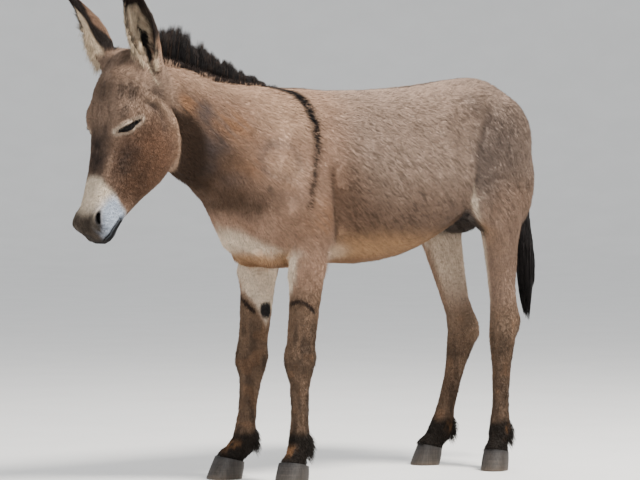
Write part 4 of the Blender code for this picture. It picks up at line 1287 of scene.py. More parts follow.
def hair_material(name, roughness, low, high, bumpy, **sockets):
    """Painted hair or hide, between low and high of its brightness, with a bump of the same grain."""
    material, tree, shader = new_material(name, roughness, **sockets)
    painted = add_node(tree, "ShaderNodeAttribute", attribute_name="coat_colour")
    grain = stretched_noise(tree, HAIR_SCALE, HAIR_STRETCH, (0, HAIR_TURN, 0))
    tree.links.new(times_noise(tree, painted.outputs["Color"], grain.outputs["Fac"], low, high),
                   shader.inputs["Base Color"])
    if bumpy:
        bump(tree, shader, grain.outputs["Fac"], bumpy, 0.002)
    return material


SKIN_MATERIAL = hair_material("short coat", 0.75, 0.72, 1.22, 0.6, Specular_IOR_Level=0.12)
TUFT_MATERIAL = hair_material("coat tufts", 0.68, 0.84, 1.14, 0.0, Specular_IOR_Level=0.12)
LONG_MATERIAL = hair_material("long hair", 0.58, 0.80, 1.25, 0.0, Specular_IOR_Level=0.12)


def dress(obj, material):
    obj.data.materials.clear()
    obj.data.materials.append(material)
    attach(obj, "root")
    return obj


dress(skin, SKIN_MATERIAL)
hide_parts(*FLESH)
print("the skin stands for", len(FLESH), "solids")

# %% [markdown]
# ## Eyes
# The lids are nearly shut, so only a dark sliver shows. The ball is a fine sphere with a slightly raised
# cornea. Pupil and iris are near-black rings of colour round the cornea's middle.

# %% Eyeballs
# how far from the middle of the cornea each colour lies
EYE_RINGS = [(0.0, "black"), (0.006, "black"), (0.0075, "pastern"), (0.012, "black"), (0.014, "black")]
RING_SCALE = 20
CORNEA_RISE, CORNEA_EDGE = 0.035, 0.80      # its share of the radius, and the cosine where it starts


def eye_material(side):
    """A near-black eye with faint rings, measured from the cornea's middle."""
    material, tree, shader = new_material(f"eye {side}", 0.18, Specular_IOR_Level=0.05)
    coords = tree.nodes.new("ShaderNodeTexCoord")
    centre = add_node(tree, "ShaderNodeVectorMath", operation="SUBTRACT")
    centre.inputs[1].default_value = EYES[side] + eye_axes(side)[2] * EYE_RADIUS
    away = add_node(tree, "ShaderNodeVectorMath", operation="LENGTH")
    scaled = add_node(tree, "ShaderNodeMath", operation="MULTIPLY")
    scaled.inputs[1].default_value = RING_SCALE
    tree.links.new(coords.outputs["Object"], centre.inputs[0])
    tree.links.new(centre.outputs["Vector"], away.inputs[0])
    tree.links.new(away.outputs["Value"], scaled.inputs[0])
    rings = ramp(tree, scaled.outputs["Value"], [(at * RING_SCALE, PALETTE[name]) for at, name in EYE_RINGS])
    tree.links.new(rings, shader.inputs["Base Color"])
    return material


def eyeball(side, name):
    bm = bmesh.new()
    bmesh.ops.create_uvsphere(bm, u_segments=48, v_segments=32, radius=EYE_RADIUS)
    axis = Vector(eye_axes(side)[2])
    for v in bm.verts:
        ahead = v.co.normalized().dot(axis)
        v.co *= 1 + CORNEA_RISE * max(0.0, ahead - CORNEA_EDGE) / (1 - CORNEA_EDGE)
    bmesh.ops.translate(bm, verts=bm.verts[:], vec=Vector(EYES[side]))
    mesh = new_mesh(name, bm)
    mesh.shade_smooth()
    ball = link(bpy.data.objects.new(name, mesh))
    dress(ball, eye_material(side))
    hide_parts(name.replace("eyeball", "eye"))
    return ball


for side, name in ((1, "eyeball_left"), (-1, "eyeball_right")):
    print(name, len(eyeball(side, name).data.polygons), "faces")

# %% [markdown]
# ## Hooves
# A hoof is a horn box that grows down from the coronet in rings, steeper at the heel than at the toe,
# and it is open at the back where two heel bulbs meet. Rings of a slightly square outline are bridged
# from the sole up, as a hoof grows, with a shallow hollow under the sole.

# %% Hooves
# the way each toe turns in degrees, and its size
HOOVES = {"fore_left": (-30, 1.0), "fore_right": (3, 1.0), "hind_left": (-30, 0.86), "hind_right": (8, 0.86)}
# height, shift to the toe, reach to the toe and to the heel, half width
HOOF_WALL = np.array([
    (0.000, 0.013, 0.0570, 0.0440, 0.0445), (0.004, 0.013, 0.0585, 0.0455, 0.0458),
    (0.030, 0.006, 0.0530, 0.0450, 0.0450), (0.056, 0.000, 0.0460, 0.0410, 0.0425),
    (0.080, -0.006, 0.0400, 0.0380, 0.0400),
])
HOOF_POINTS = 56
SQUARENESS = 2.3        # 2 is an ellipse
CLEFT_DEPTH, CLEFT_WIDTH = 0.13, 0.32       # between the heels, as shares of the ring
RING_DEPTH, RING_PITCH = 0.0003, 900        # of the growth rings
SOLE_RINGS = [(0.30, 0.0045), (0.78, 0.0035), (0.86, 0.0)]      # share of the width, and height
CORONET_HEIGHT = 0.056
CORONET_SLOPE = radians(14)


def hoof_ring(bm, foot, toe, height, size, shrink=1.0, level=None):
    """One outline of the hoof wall, a little square, with the cleft between the heels."""
    shift, front, rear, wide = (np.interp(height, HOOF_WALL[:, 0], HOOF_WALL[:, i]) for i in range(1, 5))
    side = Vector((-toe.y, toe.x, 0))
    growth = RING_DEPTH * sin(height * RING_PITCH) * (height > 0.003)
    verts = bmesh.ops.create_circle(bm, segments=HOOF_POINTS, radius=1.0)["verts"]
    for v in verts:
        x, y = v.co.x, v.co.y
        square = (abs(x) ** SQUARENESS + abs(y) ** SQUARENESS) ** (-1 / SQUARENESS)
        x, y = x * square, y * square
        y += CLEFT_DEPTH * max(0.0, -y) ** 3 * max(0.0, 1 - abs(x) / CLEFT_WIDTH)
        across = side * x * (wide * size + growth) * shrink
        along = toe * (shift + y * ((front if y > 0 else rear) * size + growth) * shrink)
        v.co = foot + across + along
        v.co.z = height if level is None else level
    return verts


def ring_edges(verts):
    ring = set(verts)
    return [e for v in verts for e in v.link_edges if v is e.verts[0] and e.verts[1] in ring]


def hoof(name):
    turn, size = HOOVES[name]
    toe = Vector((-cos(radians(turn)), sin(radians(turn)), 0))
    side = Vector((-toe.y, toe.x, 0))
    sole = np.array([v.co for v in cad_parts[f"{name}_hoof"].data.vertices if v.co.z < 0.001])
    ahead, aside = sole @ np.array(toe), sole @ np.array(side)
    toe_reach = HOOF_WALL[0, 1] + HOOF_WALL[0, 2] * size
    foot = toe * (ahead.max() - toe_reach) + side * float(aside.max() + aside.min()) / 2
    bm = bmesh.new()
    rings = [hoof_ring(bm, foot, toe, 0.0, size, shrink, level) for shrink, level in SOLE_RINGS]
    rings += [hoof_ring(bm, foot, toe, height, size) for height in np.linspace(0, HOOF_WALL[-1, 0], 33)]
    for lower, upper in zip(rings[:-1], rings[1:]):
        bmesh.ops.bridge_loops(bm, edges=ring_edges(lower) + ring_edges(upper))
    normal = Vector((-toe.x * sin(CORONET_SLOPE), -toe.y * sin(CORONET_SLOPE), cos(CORONET_SLOPE)))
    top = Vector((foot.x, foot.y, CORONET_HEIGHT)) + normal * 0.0004
    bmesh.ops.bisect_plane(bm, geom=bm.verts[:] + bm.edges[:] + bm.faces[:], plane_co=top,
                           plane_no=normal, clear_outer=True)
    bmesh.ops.holes_fill(bm, edges=[e for e in bm.edges if e.is_boundary], sides=0)
    bmesh.ops.recalc_face_normals(bm, faces=bm.faces[:])
    mesh = new_mesh(f"horn_{name}", bm)
    mesh.shade_smooth()
    mesh.set_sharp_from_angle(angle=radians(40))
    made = dress(link(bpy.data.objects.new(f"horn_{name}", mesh)), HORN)
    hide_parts(f"{name}_hoof")
    return made


# the horn's colour by its share of the hoof's height, from a dusty lower edge up
HORN_HEIGHT = 0.065
HORN_STOPS = [(0.0, (0.070, 0.052, 0.038)), (0.25, (0.043, 0.035, 0.029)), (0.75, (0.030, 0.025, 0.022)),
              (1.0, (0.018, 0.016, 0.015))]


def horn_material():
    """Slate-brown horn: fine upright tubes, paler growth rings, and a dusty lower edge."""
    material, tree, shader = new_material("horn", 0.55, Specular_IOR_Level=0.35)
    coords = tree.nodes.new("ShaderNodeTexCoord")
    fibres = stretched_noise(tree, 260, (1, 1, 0.06))
    rings = stretched_noise(tree, 40, (0.15, 0.15, 3.0))
    height = tree.nodes.new("ShaderNodeSeparateXYZ")
    tree.links.new(coords.outputs["Object"], height.inputs[0])
    spread = add_node(tree, "ShaderNodeMapRange", **{"From Max": HORN_HEIGHT})
    tree.links.new(height.outputs["Z"], spread.inputs["Value"])
    shaded = ramp(tree, spread.outputs["Result"], HORN_STOPS)
    shaded = times_noise(tree, shaded, fibres.outputs["Fac"], 0.70, 1.35)
    shaded = times_noise(tree, shaded, rings.outputs["Fac"], 0.80, 1.25)
    tree.links.new(shaded, shader.inputs["Base Color"])
    bump(tree, shader, fibres.outputs["Fac"], 0.35, 0.0006)
    return material


HORN = horn_material()
for name in HOOVES:
    print(name, "hoof:", len(hoof(name).data.polygons), "faces")

# %% [markdown]
# ## Camera and studio
# A long lens far away keeps the proportions true. It stands at chest height and looks at the donkey's
# left side, a little from the front. The floor is one pale sheet that curves up into a wall, lit by a
# large warm key, a weak fill and a rim light, so that the fur shows its depth with soft shadows.

# %% Camera, floor and lights
CAMERA_TURN, CAMERA_DIP = radians(36), radians(1.31)        # off the animal's side, and below level
CAMERA_AWAY, CAMERA_RIGHT, CAMERA_HEIGHT = 9.0, 0.1156, 0.90
LENS, SENSOR = 175.2, 36
LIGHTS = [      # name, place, size, power and colour
    ("key", (1.0, -2.4, 4.5), 1.3, 500, (1.0, 0.96, 0.90)),
    ("fill", (-3.6, -3.4, 2.6), 2.4, 90, (0.96, 0.98, 1.0)),
    ("rim", (1.6, 2.2, 4.2), 1.6, 60, (1.0, 0.97, 0.93)),
]
AIM = Vector((0, 0, 0.8))
WALL_START, WALL_CURVE = 17.0, 8.0


def camera():
    turn = CAMERA_TURN
    forward = Vector((sin(turn), cos(turn), 0))
    right = Vector((cos(turn), -sin(turn), 0))
    data = bpy.data.cameras.new("camera")
    data.lens = LENS
    data.sensor_width = SENSOR
    made = link(bpy.data.objects.new("camera", data))
    stand = Vector(WITHERS) + Vector((0, 0, CAMERA_HEIGHT))
    made.location = stand - forward * CAMERA_AWAY + right * CAMERA_RIGHT
    made.rotation_euler = (radians(90) - CAMERA_DIP, 0, -turn)
    bpy.context.scene.camera = made


def area(name, place, size, power, colour):
    data = bpy.data.lights.new(name, "AREA")
    data.shape = "DISK"
    data.size = size
    data.energy = power
    data.color = colour
    made = link(bpy.data.objects.new(name, data))
    made.location = place
    made.rotation_euler = (AIM - Vector(place)).to_track_quat("-Z", "Y").to_euler()


def studio():
    """A pale floor that curves up into a wall all round, far outside the cameras."""
    bm = bmesh.new()
    profile = [(0.0, 0.0), (6.0, 0.0), (12.0, 0.0), (WALL_START, 0.0)]
    profile += [(WALL_START + WALL_CURVE * sin(radians(a)), WALL_CURVE * (1 - cos(radians(a))))
                for a in range(8, 91, 8)]
    verts = [bm.verts.new((x, 0, z)) for x, z in profile]
    edges = [bm.edges.new(pair) for pair in zip(verts[:-1], verts[1:])]
    bmesh.ops.spin(bm, geom=verts + edges, cent=(0, 0, 0), axis=(0, 0, 1), angle=2 * pi, steps=96,
                   use_merge=True)
    bmesh.ops.remove_doubles(bm, verts=bm.verts[:], dist=1e-4)
    bmesh.ops.recalc_face_normals(bm, faces=bm.faces[:])
    bm.faces.ensure_lookup_table()
    if bm.faces[0].normal.z < 0:
        bmesh.ops.reverse_faces(bm, faces=bm.faces[:])
    mesh = new_mesh("floor", bm)
    mesh.shade_smooth()
    floor = link(bpy.data.objects.new("floor", mesh))
    material, tree, shader = new_material("floor", 0.85)
    grain = stretched_noise(tree, 3, (1, 1, 1))
    base = add_node(tree, "ShaderNodeRGB")
    base.outputs[0].default_value = (0.84, 0.83, 0.81, 1)
    tree.links.new(times_noise(tree, base.outputs[0], grain.outputs["Fac"], 0.98, 1.02),
                   shader.inputs["Base Color"])
    floor.data.materials.append(material)
    world = bpy.data.worlds.new("studio")
    world.use_nodes = True
    background = world.node_tree.nodes["Background"]
    background.inputs["Color"].default_value = (0.93, 0.96, 1.0, 1)
    background.inputs["Strength"].default_value = 0.85
    bpy.context.scene.world = world
    for light in LIGHTS:
        area(*light)


camera()
studio()
print("camera", CAMERA_AWAY, "m away, and", len(LIGHTS), "lights")

# %% [markdown]
# ## The lie of the coat
# Hair lies the way it grows: back along the neck and trunk, down the sides and the legs, down the face,
# and up the ears. Each tuft below follows this field, turned a little by noise so that the hair breaks
# into clumps as real hair does.

# %% Which way the hair lies
# how far back and down the hair lies there
TRUNK_FLOW, RUMP_FLOW = (0.72, -0.69), (0.30, -0.95)


def lie(points, outward):
    """The way the hair points at each place, along the surface."""
    p = body_places(points)
    h = head_places(points)
    leg = step(p[:, 2], 0.72, 0.60)
    face = head_share(points)[:, None]
    flow = np.tile(np.array([TRUNK_FLOW[0], 0, TRUNK_FLOW[1]]), (len(points), 1))
    for (x, z), share in [
        (RUMP_FLOW, step(p[:, 0], 0.52, 0.74)),
        ((1.0, -0.1), step(outward[:, 2], 0.55, 0.95)),         # the back
        ((1.0, 0.0), step(-outward[:, 2], 0.5, 0.9)),           # the belly
        ((0.08, -1.0), leg),
        ((0.25, -0.97), step(p[:, 0], -0.10, -0.20) * step(p[:, 2], 0.95, 0.80)),   # the chest
    ]:
        flow = flow * (1 - share[:, None]) + np.array([x, 0, z]) * share[:, None]
    cheek = step(h[:, 1], 0.03, -0.08)[:, None]
    whorl = (2 * step(h[:, 0], 0.02, 0.085) - 1)[:, None]
    on_face = (DOWN * whorl * (1 - 0.45 * cheek) - OUT * 0.75 * cheek
               + LEFT * np.sign(h[:, 2:]) * (0.25 + 0.6 * (1 - np.abs(whorl))) * (1 - cheek))
    flow = flow * (1 - face) + on_face * face
    for side in EARS:
        reach, _, off, tip, *_ = ear_places(points, side)
        on = (step(reach, 0.0, 0.03) * step(off, 1.7, 1.4))[:, None]
        flow = flow * (1 - on) + tip * on
    turn = (noise(points, 0.05, 51) - 0.5) * 0.40 + (noise(points, 0.015, 52) - 0.5) * 0.25
    turn *= (1 - 0.7 * leg) * (1 - 0.35 * face[:, 0])
    flow = unit(flow - outward * np.sum(flow * outward, axis=1, keepdims=True) + 1e-9)
    across = np.cross(outward, flow)
    return unit(flow * np.cos(turn)[:, None] + across * np.sin(turn)[:, None])


print("back and down on the trunk:", TRUNK_FLOW, "and on the rump:", RUMP_FLOW)

# %% [markdown]
# ## Tufts
# A tuft is a slim closed blade of four triangles: a root as wide as a few hairs, and one tip. Roots are
# scattered over the skin's triangles by their area, and each blade leans a few degrees off the skin.
# Its patch on the bake map is a few thousandths across, at its root's place on the skin's own unwrap.

# %% Scatter and build tufts
skin_triangles = triangles_of(mesh)
corner_uv = numbers(mesh.uv_layers["OFBake"].uv, "vector", 2).reshape(-1, 3, 2)
first, second, third = (skin_points[skin_triangles[:, i]] for i in range(3))
triangle_cross = np.cross(second - first, third - first)
triangle_facing = unit(triangle_cross)
triangle_middle = (first + second + third) / 3
triangle_head = folded_head(triangle_middle)
triangle_area = np.linalg.norm(triangle_cross, axis=1) / 2
# no hair grows where a corner has no proper normal
triangle_area *= np.linalg.norm(skin_normals[skin_triangles], axis=2).min(axis=1) > 0.5
print("skin area:", round(float(triangle_area.sum()), 3), "m2")


def scatter(count, weight, rng):
    """Random places on the skin: points, the way out, and their place on the unwrap."""
    chance = np.cumsum(triangle_area * weight)
    chosen = np.searchsorted(chance, rng.random(count) * chance[-1])
    a, b = np.sqrt(rng.random((2, count)))
    share = np.column_stack([1 - a, a * (1 - b ** 2), a * b ** 2])[:, :, None]
    corners = skin_triangles[chosen]
    root = (skin_points[corners] * share).sum(1)
    outward = unit((skin_normals[corners] * share).sum(1))
    return root, outward, (corner_uv[chosen] * share).sum(1)


def lay_patches(mesh, uv, spots, shape):
    """Give the triangles of each tuft or hair a small patch of the bake map, round its root's place."""
    places = (uv[:, None, None] + spots[shape][None]).reshape(-1, 2)
    mesh.uv_layers.new(name="OFBake").uv.foreach_set("vector", places.astype(np.float32).ravel())


# the corners are two at the root, one on the back, and the tip
BLADE = np.array([(0, 3, 1), (0, 2, 3), (1, 3, 2), (0, 1, 2)])
BLADE_SPOTS = np.array([(-0.0015, -0.0012), (0.0015, -0.0012), (0.0, 0.0002), (0.0, 0.0015)])
# painted shade at each blade's root, a little lighter at its tip
BLADE_SHADE = np.array([0.62, 0.62, 0.80, 1.12])
ROOT_DEPTH = 0.0006


def tufts(name, count, weight, seed, size):
    """A coat piece of blades. size(points) gives length, width, thickness and lean in radians."""
    rng = np.random.default_rng(seed)
    root, outward, uv = scatter(count, weight, rng)
    along = lie(root, outward)
    length, width, thick, lean = size(root, rng)
    spin = (rng.random(count) - 0.5) * 0.35
    across = np.cross(outward, along)
    along = along * np.cos(spin)[:, None] + across * np.sin(spin)[:, None]
    across = np.cross(outward, along)
    lean = lean * (0.6 + 0.8 * rng.random(count))
    tip = root + along * (length * np.cos(lean))[:, None] + outward * (length * np.sin(lean))[:, None]
    sunk = root - outward * ROOT_DEPTH
    corners = np.stack([sunk + across * width[:, None] / 2, sunk - across * width[:, None] / 2,
                        root + outward * thick[:, None] + along * length[:, None] * 0.1, tip], axis=1)
    triangles = (np.arange(count)[:, None, None] * 4 + BLADE[None]).reshape(-1, 3)
    mesh = joined_mesh(name, corners.reshape(-1, 3), triangles)
    # painted shade in the gaps between clumps, times a random tone
    tone = ((1.0 - GAP_SHADE * gaps(root)) * (0.86 + 0.28 * rng.random(count)))[:, None, None]
    at_root = coat_colours(root, outward)
    at_tip = coat_colours(root + along * length[:, None] * 0.8, outward)
    colours = np.stack([at_root, at_root, at_root, at_tip], axis=1) * BLADE_SHADE[None, :, None]
    paint(mesh, (colours * tone).reshape(-1, 3))
    lay_patches(mesh, np.clip(uv, 0.002, 0.998), BLADE_SPOTS, BLADE)
    return dress(link(bpy.data.objects.new(name, mesh)), TUFT_MATERIAL)


# the size of a clump along the hair, outward and across, and how strongly shade is painted into the gaps
# between clumps
CLUMP, GAP_SHADE = (0.0130, 0.011, 0.0038), 0.42


def gaps(points):
    """1 in the gaps between clumps of hair, where the tufts are painted with shade, strongest on the flank
    and the rump.
    """
    p = body_places(points)
    found = np.zeros(len(points))
    rump = step(p[:, 0], 0.55, 0.70)
    for (x, z), share in ((TRUNK_FLOW, 1 - rump), (RUMP_FLOW, rump)):
        axes = np.array([[x, 0, z], [0, 1, 0], [-z, 0, x]])
        found += share * step(noise(p @ axes.T, CLUMP, 61), 0.50, 0.30)
    flank = step(p[:, 0], 0.05, 0.16) * step(p[:, 2], 0.66, 0.76)
    return found * (0.25 + 0.75 * flank) * (1 - head_share(points) * 0.5)


def body_size(points, rng):
    """Length, width, thickness and lean of the body's blades: shorter and finer down the legs."""
    leg = leg_share(points)
    length = (0.021 - 0.009 * leg) * (0.75 + 0.5 * rng.random(len(points)))
    width = 0.0026 - 0.0006 * leg
    lean = radians(13) - radians(5) * gaps(points)
    return length, width, np.full(len(points), 0.0009), lean


def head_size(points, rng):
    """The same for the head and the ears: longest on the forehead, shortest on the muzzle."""
    down = head_places(points)[:, 0]
    muzzle = step(down, 0.30, 0.40)
    forehead = step(down, 0.13, 0.06)
    length = (0.0105 - 0.0055 * muzzle + 0.0055 * forehead) * (0.75 + 0.5 * rng.random(len(points)))
    return length, 0.0016 - 0.0005 * muzzle, np.full(len(points), 0.0005), np.full(len(points), radians(10))


# %% [markdown]
# ## The coat's pieces
# The coat is split where one part of the body meets the next, so that no piece gets too heavy. Every
# piece grows on its own share of the skin's triangles. None grows on the lips, the lids' edges, the
# nostrils or the hooves.

# %% Where each piece grows
# from the front to the rear: name, where it starts behind the withers, and its tufts
TRUNK_PIECES = [("coat_neck", -np.inf, 30000), ("coat_shoulders", -0.14, 34000), ("coat_barrel", 0.14, 46000),
                ("coat_loin", 0.44, 38000), ("coat_croup", 0.64, 40000)]
LEG_TOP, LEGS_PARTED, HOOF_EDGE = 0.60, 0.3, 0.05


def bare_skin(m):
    """The places of the face that grow no hair."""
    gap, share = mouth_places(m)
    bare = (nostril_places(m)[2] < 0.016) | ((share > 0.5) & (np.abs(gap) < 0.004))
    for side in EYES:
        u, v, w, edge = slit_places(m, side)
        bare |= (edge < 0.003) & (w > 0) & (np.hypot(u, v) < 0.04)
    return bare


def region_weights():
    """For each coat piece, a weight on every skin triangle, its number of tufts and their sizes."""
    m = triangle_middle
    p = body_places(m)
    ear, head = ear_share(m), head_share(m)
    body = (1 - head) * (m[:, 2] > HOOF_EDGE)
    low = p[:, 2] < LEG_TOP
    muzzle = 1 + step(head_places(m)[:, 0], 0.30, 0.40)
    yield "coat_head", head * (ear < 0.5) * ~bare_skin(m) * muzzle, 46000, head_size
    yield "coat_ears", (ear >= 0.5) * 1.0, 14000, head_size
    ends = [start for _, start, _ in TRUNK_PIECES[1:]] + [np.inf]
    for (name, start, count), end in zip(TRUNK_PIECES, ends):
        yield name, body * ~low * (p[:, 0] >= start) * (p[:, 0] < end), count, body_size
    yield "coat_fore_legs", body * low * (p[:, 0] < LEGS_PARTED), 26000, body_size
    yield "coat_hind_legs", body * low * (p[:, 0] >= LEGS_PARTED), 28000, body_size


print(len(TRUNK_PIECES) + 4, "coat pieces")

# %% Grow the coat
share_made = 1.0
for seed, (name, weight, count, size) in enumerate(region_weights()):
    made = tufts(name, int(count * share_made), weight, 100 + seed, size)
    grown = float((triangle_area * (weight > 0.5)).sum())
    print(name, len(made.data.polygons), "triangles on", round(grown, 3), "m2")

# %% [markdown]
# ## Long hair
# The mane stands up like a brush, and the tail ends in a switch. Both are made of single tapered hairs
# with three sides, grown inside the solids' own outlines: the solid's cross-sections say how tall the
# mane is at each place and how wide the switch is at each height. Hairs that share a clump lean together.

# %% Strands
def strand_triangles(steps):
    """The triangles of one three-sided hair with a closed root and a pointed tip."""
    made = [(2, 1, 0)]
    for k in range(steps - 2):
        for i in range(3):
            j = (i + 1) % 3
            a, b, c, d = 3 * k + i, 3 * k + j, 3 * k + 3 + j, 3 * k + 3 + i
            made += [(a, b, c), (a, c, d)]
    last = 3 * (steps - 2)
    made += [(last + i, last + (i + 1) % 3, last + 3) for i in range(3)]
    return np.array(made)


def strands(name, paths, radius, taper, colours, material):
    """Hairs along paths (hair, step, place), with a share of the radius and a colour at each step."""
    count, steps, _ = paths.shape
    ahead = unit(np.gradient(paths, axis=1))
    side = unit(np.cross(ahead, np.array([0.31, 0.87, 0.38])))
    over = np.cross(ahead, side)
    angles = np.arange(3) * 2 * np.pi / 3
    spokes = np.cos(angles)[:, None] * side[:, :-1, None] + np.sin(angles)[:, None] * over[:, :-1, None]
    ring = paths[:, :-1, None] + (radius * np.array(taper[:-1]))[None, :, None, None] * spokes
    points = np.concatenate([ring.reshape(count, -1, 3), paths[:, -1:]], axis=1)
    shape = strand_triangles(steps)
    per_hair = points.shape[1]
    triangles = (np.arange(count)[:, None, None] * per_hair + shape[None]).reshape(-1, 3)
    mesh = joined_mesh(name, points.reshape(-1, 3), triangles)
    tint = np.concatenate([np.repeat(colours[:, :-1], 3, axis=1), colours[:, -1:]], axis=1)
    paint(mesh, tint.reshape(-1, 3))
    spots = np.zeros((per_hair, 2))
    spots[:, 0] = np.append(np.tile([-0.0015, 0.0, 0.0015], steps - 1), 0.0)
    spots[:, 1] = np.append(np.repeat(np.linspace(-0.0015, 0.0012, steps - 1), 3), 0.0015)
    lay_patches(mesh, nearest_uv(paths[:, 0]), spots, shape)
    print(name, len(triangles), "triangles")
    return dress(link(bpy.data.objects.new(name, mesh)), material)


def straight(root, outward, way, length, steps):
    """The paths of straight hairs that start a little under the skin."""
    t = np.linspace(0, 1, steps)[None, :, None]
    return root[:, None] - outward[:, None] * 0.001 + way[:, None] * length[:, None, None] * t


def shaded(tone, shares):
    """A colour for each hair, times a share at each of its steps."""
    return tone[:, None] * np.array(shares)[None, :, None]


def nearest_uv(points):
    """The skin's unwrap at the place nearest to each point."""
    found = np.empty((len(points), 2))
    for i, p in enumerate(points):
        _, index, _ = SKIN_TREE.find(p)
        found[i] = corner_uv[index].mean(0)
    return np.clip(found, 0.002, 0.998)


SKIN_TREE = KDTree(len(triangle_middle))
for i, place in enumerate(triangle_middle):
    SKIN_TREE.insert(place, i)
SKIN_TREE.balance()


# %% [markdown]
# ## The mane
# The hairs of one lock share a tilt, a height and a middle that their tips draw together to. In front of
# the withers the mane runs out low. Coat-coloured hairs climb over its foot, so that no seam shows.

# %% The mane
LOCKS, LOCK_WIDTHS = 110, (0.003, 0.009)


def mane():
    """Upright dark hairs that lean together in narrow locks."""
    rng = np.random.default_rng(7)
    count, steps = int(10500 * share_made), 4
    at = rng.uniform(MANE_FRONT + 0.004, MANE_REAR - 0.002, count)
    low, high = along_sections(MANE, 0, at)
    centre, half = (low[:, 1] + high[:, 1]) / 2, (high[:, 1] - low[:, 1]) / 2
    aside = np.clip(rng.normal(0, 0.42, count), -1, 1)
    sunk = np.interp(at, [MANE_REAR - 0.16, MANE_REAR - 0.03], [0.006, -0.012])
    place = np.column_stack([at, centre + aside * half * 0.9, low[:, 2] + sunk])
    edges = MANE_FRONT - 0.02 + np.cumsum(rng.uniform(*LOCK_WIDTHS, LOCKS))
    lock = np.searchsorted(edges, at + 0.007 * aside)
    lock_middle = (edges[lock - 1] + edges[lock]) / 2 - 0.007 * aside
    habit = rng.random((len(edges), 3))[lock]
    length = (high[:, 2] - low[:, 2] - sunk) * (0.84 + 0.46 * habit[:, 0])
    length *= 1 - 0.25 * np.abs(aside) ** 1.5
    length *= 0.62 + 0.38 * rng.random(count) ** 0.5
    back = 0.13 + 0.26 * (habit[:, 1] - 0.5) + rng.normal(0, 0.06, count)
    sideways = 0.24 * (habit[:, 2] - 0.5) - aside * 0.10 + rng.normal(0, 0.03, count)
    up = unit(np.column_stack([back, sideways, np.ones(count)]))
    t = np.linspace(0, 1, steps)[None, :, None]
    gather = np.column_stack([(lock_middle - at) * 0.75, rng.normal(0, 0.0015, count), np.zeros(count)])
    paths = place[:, None] + up[:, None] * length[:, None, None] * t + gather[:, None] * t ** 1.5
    dark = np.array(PALETTE["black"]) * (0.8 + 1.2 * rng.random(count))[:, None]
    dark = np.where((rng.random(count) < 0.12)[:, None], np.array(PALETTE["brown"]), dark)
    strands("mane_hair", paths, 0.0009, (1.0, 0.85, 0.55, 0.0), shaded(dark, (0.6, 0.8, 1.0, 1.4)),
            LONG_MATERIAL)


def mane_foot():
    """Short coat-coloured hairs of the crest that run up over the foot of the mane."""
    rng = np.random.default_rng(8)
    count = int(6000 * share_made)
    at = triangle_middle[:, 0]
    off, low, high = beside_mane(triangle_middle)
    inside = (at > MANE_FRONT + 0.01) * (at < MANE_REAR) * (triangle_middle[:, 2] > low[:, 2] - 0.02)
    root, outward, _ = scatter(count, step(off, 0.020, 0.006) * inside, rng)
    off, low, high = beside_mane(root)
    length = rng.uniform(0.008, 0.026, count) * np.interp(high[:, 2] - low[:, 2], [0.02, 0.09], [0.6, 1.0])
    up = unit(outward * np.interp(off, [0.0, 0.02], [0.35, 0.05])[:, None] + np.array([0.25, 0, 1.0])
              + rng.normal(0, 0.12, (count, 3)))
    dark = rng.random(count) < step(off, 0.018, 0.005)
    tone = coat_colours(root, outward) * rng.uniform(0.6, 1.0, count)[:, None]
    tone = np.where(dark[:, None], np.array(PALETTE["bar"]), tone)
    strands("mane_foot", straight(root, outward, up, length, 3), 0.0006, (1.0, 0.8, 0.0),
            shaded(tone, (0.7, 0.9, 1.1)), TUFT_MATERIAL)


mane()
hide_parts("mane")
mane_foot()

# %% [markdown]
# ## The tail's switch
# Each hair follows the switch's own sections downward, and drifts toward the middle of its lock on the
# way. Locks end at different heights, so the tip of the tail is ragged.

# %% The switch
SWITCH_TAPER = (0.8, 1.0, 1.0, 0.95, 0.85, 0.65, 0.4, 0.0)


def switch():
    """Long near-black hairs that gather into uneven pointed locks."""
    rng = np.random.default_rng(9)
    count, steps, locks = int(3000 * share_made), len(SWITCH_TAPER), 24
    table = sections("tail_switch", 2)
    top, bottom = table[-1, 0, 2], table[0, 0, 2]
    lock = rng.integers(0, locks, count)
    lock_angle = rng.uniform(0, 2 * pi, locks)[lock]
    lock_spot = (np.sqrt(rng.random(locks)) * 0.85)[lock]
    short = (rng.random(locks) ** 1.3 * 0.50)[lock] + rng.beta(1.0, 3.0, count) * 0.30
    start = top + rng.uniform(-0.10, 0.055, count)
    end = np.minimum(bottom + (top - bottom) * short, start - 0.10)
    spot, angle = np.sqrt(rng.random(count)) * 0.92, rng.uniform(0, 2 * pi, count)
    wave = rng.uniform(0, 2 * pi, (locks, 2))[lock]
    paths = np.empty((count, steps, 3))
    for k, t in enumerate(np.linspace(0, 1, steps)):
        z = start + (end - start) * t
        low, high = along_sections(table, 2, z)
        centre, half = (low + high) / 2, (high - low) / 2
        gather = 0.88 * t ** 1.2
        ahead = np.cos(angle) * spot * (1 - gather) + np.cos(lock_angle) * lock_spot * gather
        aside = np.sin(angle) * spot * (1 - gather) + np.sin(lock_angle) * lock_spot * gather
        paths[:, k, 0] = centre[:, 0] + ahead * half[:, 0] + 0.005 * np.sin(wave[:, 0] + t * 6) * t
        paths[:, k, 1] = centre[:, 1] + aside * half[:, 1] + 0.005 * np.sin(wave[:, 1] + t * 5) * t
        paths[:, k, 2] = z
    dark = np.array(PALETTE["black"]) * (0.6 + 1.3 * rng.random(count))[:, None]
    strands("switch_hair", paths, 0.0013, SWITCH_TAPER, shaded(dark, np.linspace(1.5, 1.0, steps)),
            LONG_MATERIAL)


switch()
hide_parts("tail_switch")

# %% [markdown]
# ## Hair in the ears
# Pale hair grows in from both edges of an ear and half closes its hollow. The dark slot at the foot of the
# ear and the dark skin of the hollow stay bare.

# %% Ear hair
triangle_tone = coat_colours(triangle_middle, triangle_facing).mean(1)


